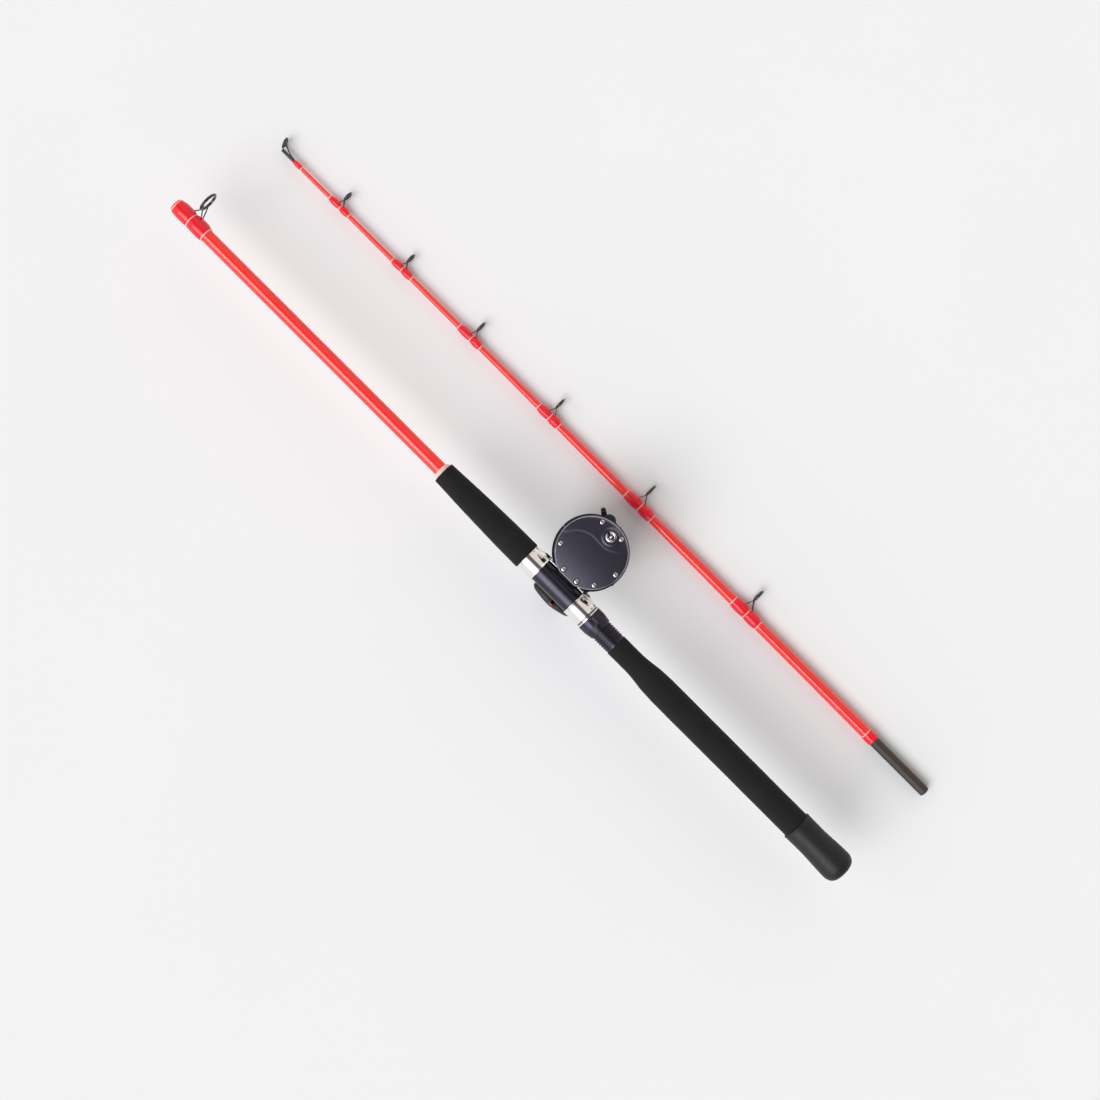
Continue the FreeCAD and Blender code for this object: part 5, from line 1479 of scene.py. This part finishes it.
@dataclass
class ReelFoot:
    """The reel's foot: a bright blade that the hoods clamp, on a dark stand under the side rings."""

    bench: Bench
    rod: Axis
    reel: Axis
    length: float = 75.0
    width: float = 15.2
    inner: float = 14.85
    outer: float = 17.2
    stand: tuple[float, float, float, float] = (-39.6, -30.5, 17.0, 20.0)

    def build(self) -> None:
        """Make the blade and the stand as one piece."""
        shell = Shell()
        middle = self.reel.base.y / MM
        section = squared(28, 0.5, 0.6)
        rows = []
        for share in spread(-1.0, 1.0, 41):
            tip = 1 - smooth(abs(share), 0.93, 1.0) * 0.45
            thick = (self.outer - self.inner) / 2 * (1 - 0.45 * smooth(abs(share), 0.5, 1.0))
            y = middle + share * self.length / 2
            points = [(self.inner + thick + u * thick, y, v * tip * self.width / 2) for u, v in section]
            rows.append([self.rod.base + Vector(point) * MM for point in points])
        shell.rings(rows)
        near, far, half, rise = self.stand
        reach = math.sqrt(FRAME_BORE ** 2 - far ** 2)
        outline = [(near, -half), (near, half), (far, half)]
        outline += [(-math.sqrt(FRAME_BORE ** 2 - y * y), y) for y in spread(reach, -reach, 24)]
        outline.append((far, -half))
        foot = [self.reel.moved(x, y).at(-rise, 0.0) for x, y in outline]
        shell.slab(foot, Vector((0, 0, 2 * rise)) * MM, 0.6, material=1)
        self.bench.add(shell, "reel_foot_cast", "hood_chrome", "butt_section", ["reel_foot"], ["frame_black"])


@dataclass
class Crank:
    """What the angler turns: the crank arm, its nut, the star wheel and the paddle knob."""

    bench: Bench
    axis: Axis
    knob_axis: Axis
    arm: tuple[float, float] = (-56.3, -52.8)
    hub_r: float = 8.6
    eye_r: float = 6.0
    star: tuple[float, float] = (-51.0, -47.6)
    star_tip: float = 28.0
    star_waist: float = 12.5

    def build(self) -> None:
        """Make the arm, the nut, the star and the knob."""
        self.arm_plate()
        self.nut()
        self.star_wheel()
        self.knob()

    def arm_plate(self) -> None:
        """The tapered arm with rounded ends and softened rims, and its raised hub."""
        reach = (self.knob_axis.base - self.axis.base) / MM
        outline = link_outline(self.axis, (reach.x, reach.y), (self.hub_r, self.eye_r), self.arm[0], 18)
        shell = Shell()
        shell.slab(outline, Vector((0, 0, self.arm[1] - self.arm[0])) * MM, 0.8)
        hub = [(-57.0, 0.01), (-57.0, 8.0), (-56.0, 8.8), (-52.5, 8.8), (-52.5, 0.01)]
        shell.turned(self.axis, softened(hub, 0.5, 3), 56)
        self.bench.add(shell, "crank_arm_forged", "crank_black", "crank", ["crank_arm"])

    def nut(self) -> None:
        """The domed hexagonal crank nut on a washer."""
        shell = Shell()
        rows = []
        for w, scale in ((-57.0, 0.94), (-57.4, 1.0), (-59.6, 1.0), (-60.1, 0.93)):
            rows.append((w, lambda turn, s=scale: s * 7.3 / math.cos(
                math.remainder(turn - math.radians(20.0), math.pi / 3))))
        shell.skin(self.axis, rows, 72)
        shell.turned(self.axis, flowing([(-60.0, 5.6), (-60.6, 4.0), (-60.9, 0.01)], 5), 40)
        self.bench.add(shell, "crank_nut_domed", "screw_steel", "crank", ["crank_nut"], crease=25.0)

    def star_wheel(self) -> None:
        """The five-armed star with rounded tips and a dished hub."""
        low, high = self.star
        outline = []
        for k in range(200):
            turn = 2 * math.pi * k / 200
            wave = 0.5 + 0.5 * math.cos(5 * (turn - math.radians(60.0)))
            r = self.star_waist + (self.star_tip - self.star_waist) * wave ** 1.9
            outline.append(self.axis.at(low, r, turn))
        shell = Shell()
        shell.slab(outline, Vector((0, 0, high - low)) * MM, 0.9)
        hub = [(low - 1.1, 0.01), (low - 1.1, 7.4), (low + 0.5, 8.4), (low + 0.5, 0.01)]
        shell.turned(self.axis, softened(hub, 0.5, 3), 56)
        self.bench.add(shell, "star_wheel_cast", "crank_black", "star", ["star_wheel"])

    def knob(self) -> None:
        """The paddle knob: broad at its front, narrow at its rear, swelling round the rivet."""
        half_widths = [(31.0, 0.6), (29.0, 2.9), (24.0, 4.9), (12.0, 6.4), (0.0, 6.8), (-12.0, 4.6),
                       (-20.0, 2.5), (-24.5, 0.7)]
        spine = flowing(half_widths, 6)
        shell = Shell()
        rows = []
        for along, half in spine:
            up = 14.0 + 9.5 * (1 - ((along - 2.0) / 32.0) ** 2) + 2.2 * smooth(-along, -12.0, 12.0)
            down = 3.0 + 3.4 * ((along - 1.0) / 30.0) ** 2
            middle, tall = (up + down) / 2, max(0.8, (up - down) / 2 * min(1.0, (half / 2.4)))
            rows.append([self.knob_axis.base + Vector((u * half, along, middle + v * tall)) * MM
                         for u, v in squared(36, 0.72, 0.72)])
        shell.rings(rows)
        collars = (([(20.0, 2.65), (20.0, 6.6), (29.0, 6.3), (33.0, 5.6), (33.0, 2.65)], 1.2),
                   ([(0.3, 4.9), (0.3, 6.3), (3.0, 6.8), (8.0, 6.6), (8.0, 4.9)], 1.0))
        for collar, edge in collars:
            shell.turned(self.knob_axis, softened(collar, edge, 4), 48, loop=True)
        self.bench.add(shell, "crank_knob_moulded", "knob_black", "knob", ["crank_knob"], crease=50.0)


@dataclass
class KnobRivet:
    """The knob's rivet: a domed copper head with a dished, darkened middle, on a smooth stem."""

    bench: Bench
    axis: Axis
    foot: float
    head: float

    def build(self) -> None:
        """Make the rivet."""
        shell = Shell()
        top, low = self.head, self.foot
        shell.turned(self.axis, softened([(low, 0.01), (low, 3.4), (low + 1.2, 3.4), (low + 1.6, 2.5),
                                          (top - 1.7, 2.5), (top - 1.5, 4.4), (top - 0.5, 4.4), (top, 3.2),
                                          (top, 2.3)], 0.35, 3), 48)
        shell.turned(self.axis, [(top, 2.35), (top - 0.9, 1.9), (top - 1.1, 0.01)], 48, material=1)
        self.bench.add(shell, "knob_rivet_headed", "rivet_copper", "crank", ["knob_rivet"], ["knob_black"])


@dataclass
class FreeSpoolLever:
    """The thumb lever that disengages the pinion."""

    bench: Bench
    axis: Axis
    reach: tuple[float, float] = (10.1, 15.45)

    def build(self) -> None:
        """Make the hub, the arm and the stub that the thumb pushes."""
        shell = Shell()
        hub = [(-44.3, 0.01), (-44.3, 7.5), (-47.8, 7.5), (-48.1, 0.01)]
        shell.turned(self.axis, softened(hub, 0.9, 4), 56)
        outline = link_outline(self.axis, self.reach, (4.2, 3.0), -47.8, 14)
        shell.slab(outline, Vector((0, 0, 3.2)) * MM, 0.7)
        stub = [(-47.8, 0.01), (-47.8, 2.9), (-36.0, 2.9), (-34.0, 2.3), (-34.0, 0.01)]
        shell.turned(self.axis.moved(*self.reach), softened(stub, 0.8, 4), 36)
        self.bench.add(shell, "freespool_lever_formed", "frame_black", "lever", ["freespool_lever"])


# ---------------------------------------------------------------- the studio
@dataclass(frozen=True)
class Studio:
    """The floor, the light, the room and the camera, which looks straight down and is turned on its axis."""

    camera_place: tuple[float, float, float] = (-0.04935, -0.03215, 2.2054)
    camera_turn: float = -45.0
    lens: float = 60.02
    key_lean: float = 40.0
    key_spread: float = 42.0
    key_power: float = 1.85
    floor_size: float = 12.0
    floor_shade: float = 0.86
    floor_tint: Colour = (0.985, 0.995, 1.022)
    room_power: float = 0.92

    def build(self) -> None:
        """Make the floor, the light, the room and the camera."""
        self.floor()
        self.key_light()
        self.room()
        self.camera()

    def floor(self) -> None:
        """The plain pale floor under the rod."""
        g = Graph("pale_floor")
        haze = g.node("ShaderNodeTexNoise", {"Vector": g.place, "Scale": 3.0, "Detail": 2.0})
        low, high = (tuple(tint * (self.floor_shade + haze_part) for tint in self.floor_tint)
                     for haze_part in (-0.008, 0.008))
        g.set(Base_Color=g.blend(low, high, haze.outputs[0]), Roughness=0.9, Specular_IOR_Level=0.05)
        half = self.floor_size / 2
        data = bpy.data.meshes.new("floor")
        corners = [(-half, -half, 0), (half, -half, 0), (half, half, 0), (-half, half, 0)]
        data.from_pydata(corners, [], [(0, 1, 2, 3)])
        data.materials.append(g.material)
        linked("floor", data)

    def key_light(self) -> None:
        """One broad soft light, leaning over the butt section's side."""
        light = bpy.data.lights.new("soft_key", "SUN")
        light.energy, light.angle = self.key_power, math.radians(self.key_spread)
        made = linked("soft_key", light)
        made.rotation_euler = (0.0, math.radians(-self.key_lean), 0.0)
        made.location = (-1.0, 0.0, 1.5)

    def room(self) -> None:
        """A pale room: bright on the key's side, a dark ceiling beyond it, and a warm wall opposite."""
        world = bpy.data.worlds.new("room")
        world.use_nodes = True
        tree = world.node_tree
        tree.nodes.clear()
        way = add_node(tree, "ShaderNodeTexCoord").outputs["Generated"]
        split = add_node(tree, "ShaderNodeSeparateXYZ", {"Vector": way})
        across = add_node(tree, "ShaderNodeMapRange", {
            0: split.outputs["X"], 1: -1.0, 2: 1.0, 3: 0.0, 4: 1.0})
        ramp = add_node(tree, "ShaderNodeValToRGB", {0: across.outputs[0]})
        stops = ramp.color_ramp
        stops.interpolation = "EASE"
        for place, colour in ((0.36, (1.0, 1.0, 1.0)), (0.475, (0.14, 0.14, 0.15)),
                              (0.62, (0.12, 0.12, 0.12)), (0.73, (0.95, 0.88, 0.8))):
            stops.elements.new(place).color = (*colour, 1.0)
        stops.elements[0].color = (1.0, 1.0, 1.0, 1.0)
        stops.elements[-1].color = (0.9, 0.84, 0.77, 1.0)
        front = add_node(tree, "ShaderNodeMapRange", {
            0: split.outputs["Y"], 1: -0.7, 2: 0.7, 3: 0.6, 4: 1.3})
        power = add_node(tree, "ShaderNodeMath", {0: front.outputs[0], 1: self.room_power},
                         operation="MULTIPLY")
        back = add_node(tree, "ShaderNodeBackground", {
            "Color": ramp.outputs[0], "Strength": power.outputs[0]})
        out = add_node(tree, "ShaderNodeOutputWorld")
        tree.links.new(back.outputs[0], out.inputs[0])
        bpy.context.scene.world = world
        bpy.context.scene.view_settings.view_transform = "Standard"

    def camera(self) -> None:
        """The camera, straight above the rod."""
        lens = bpy.data.cameras.new("camera")
        lens.lens, lens.sensor_width = self.lens, 36.0
        made = linked("camera", lens)
        made.location = self.camera_place
        made.rotation_euler = (0.0, 0.0, math.radians(self.camera_turn))
        bpy.context.scene.camera = made


# ---------------------------------------------------------------- the whole
BUTT_TAPER: Profile = ((555.0, 8.1), (120.0, 8.5), (-520.0, 9.0))
TIP_TAPER: Profile = ((513.3, 2.35), (142.0, 3.95), (-19.0, 5.2), (-468.0, 7.1))
BUTT_GUIDE = (530.5, 13.0, 28.6, (552.4, 528.8, 505.1))
TIP_GUIDES = (
    (438.4, 6.75, 15.8, (452.7, 435.3, 421.0)),
    (332.5, 7.0, 16.5, (346.5, 330.7, 314.9)),
    (215.1, 7.5, 18.2, (233.8, 213.8, 198.0)),
    (83.1, 7.75, 20.1, (99.0, 80.5, 65.1)),
    (-67.1, 8.5, 23.4, (-48.7, -72.0, -91.6)),
    (-247.4, 8.75, 25.1, (-230.1, -252.0, -271.9)),
)


def rod_axis(centre: Vector) -> Axis:
    """A section's axis through a point of it."""
    return Axis(Vector((centre.x, 0.0, centre.z)), Vector((0, 1, 0)), Vector((1, 0, 0)))


def upright(place: Vector, height: float) -> Axis:
    """An upright axis through a place, its heights counted from the given one."""
    return Axis(Vector((place.x, place.y, height)), Vector((0, 0, 1)), Vector((1, 0, 0)))


def main() -> None:
    """Build the rod, the reel and the studio in order."""
    logging.basicConfig(level=logging.INFO, format="%(name)s: %(message)s")
    bench = Bench()
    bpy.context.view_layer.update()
    butt = Section(rod_axis(bench.centre("butt_cap")), "butt_section", BUTT_TAPER)
    tip = Section(rod_axis(bench.centre("spigot")), "tip_section", TIP_TAPER)
    Blanks(bench, butt, tip).build()
    Guide(bench, butt, "butt_guide", *BUTT_GUIDE, wire=0.75, wrap=1.75, edge=1.35, ring_width=3.4,
          leg_side=0.97, stands_for={"wraps": "butt_wraps", "trims": "butt_trim_bands",
                                     "frame": "butt_guide_frame", "ring": "butt_guide_ring"}).build()
    for number, sizes in enumerate(TIP_GUIDES, 1):
        Guide(bench, tip, f"tip_guide_{number}", *sizes, stands_for={
            "wraps": "tip_wraps", "trims": "tip_trim_bands", "frame": f"tip_guide_frame_{number}",
            "ring": "tip_guide_rings",
        }).build()
    TipTop(bench, tip).build()
    EndWraps(bench, tip).build()
    Grips(bench, butt).build()
    ReelSeat(bench, butt).build()
    middle = bench.joint_place("spool_turn")
    reel = upright(middle, middle.z)
    LeftSide(bench, reel).build()
    ReelFrame(bench, reel).build()
    ReelFoot(bench, butt.axis, reel).build()
    crank = upright(bench.joint_place("crank_turn"), middle.z)
    knob = upright(bench.joint_place("knob_spin"), 0.0)
    Crank(bench, crank, knob).build()
    rivet_low, rivet_high = (corner.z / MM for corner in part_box("knob_rivet"))
    KnobRivet(bench, knob, rivet_low, rivet_high).build()
    FreeSpoolLever(bench, upright(bench.joint_place("freespool_lever_turn"), middle.z)).build()
    Studio().build()


if __name__ == "__main__":
    main()
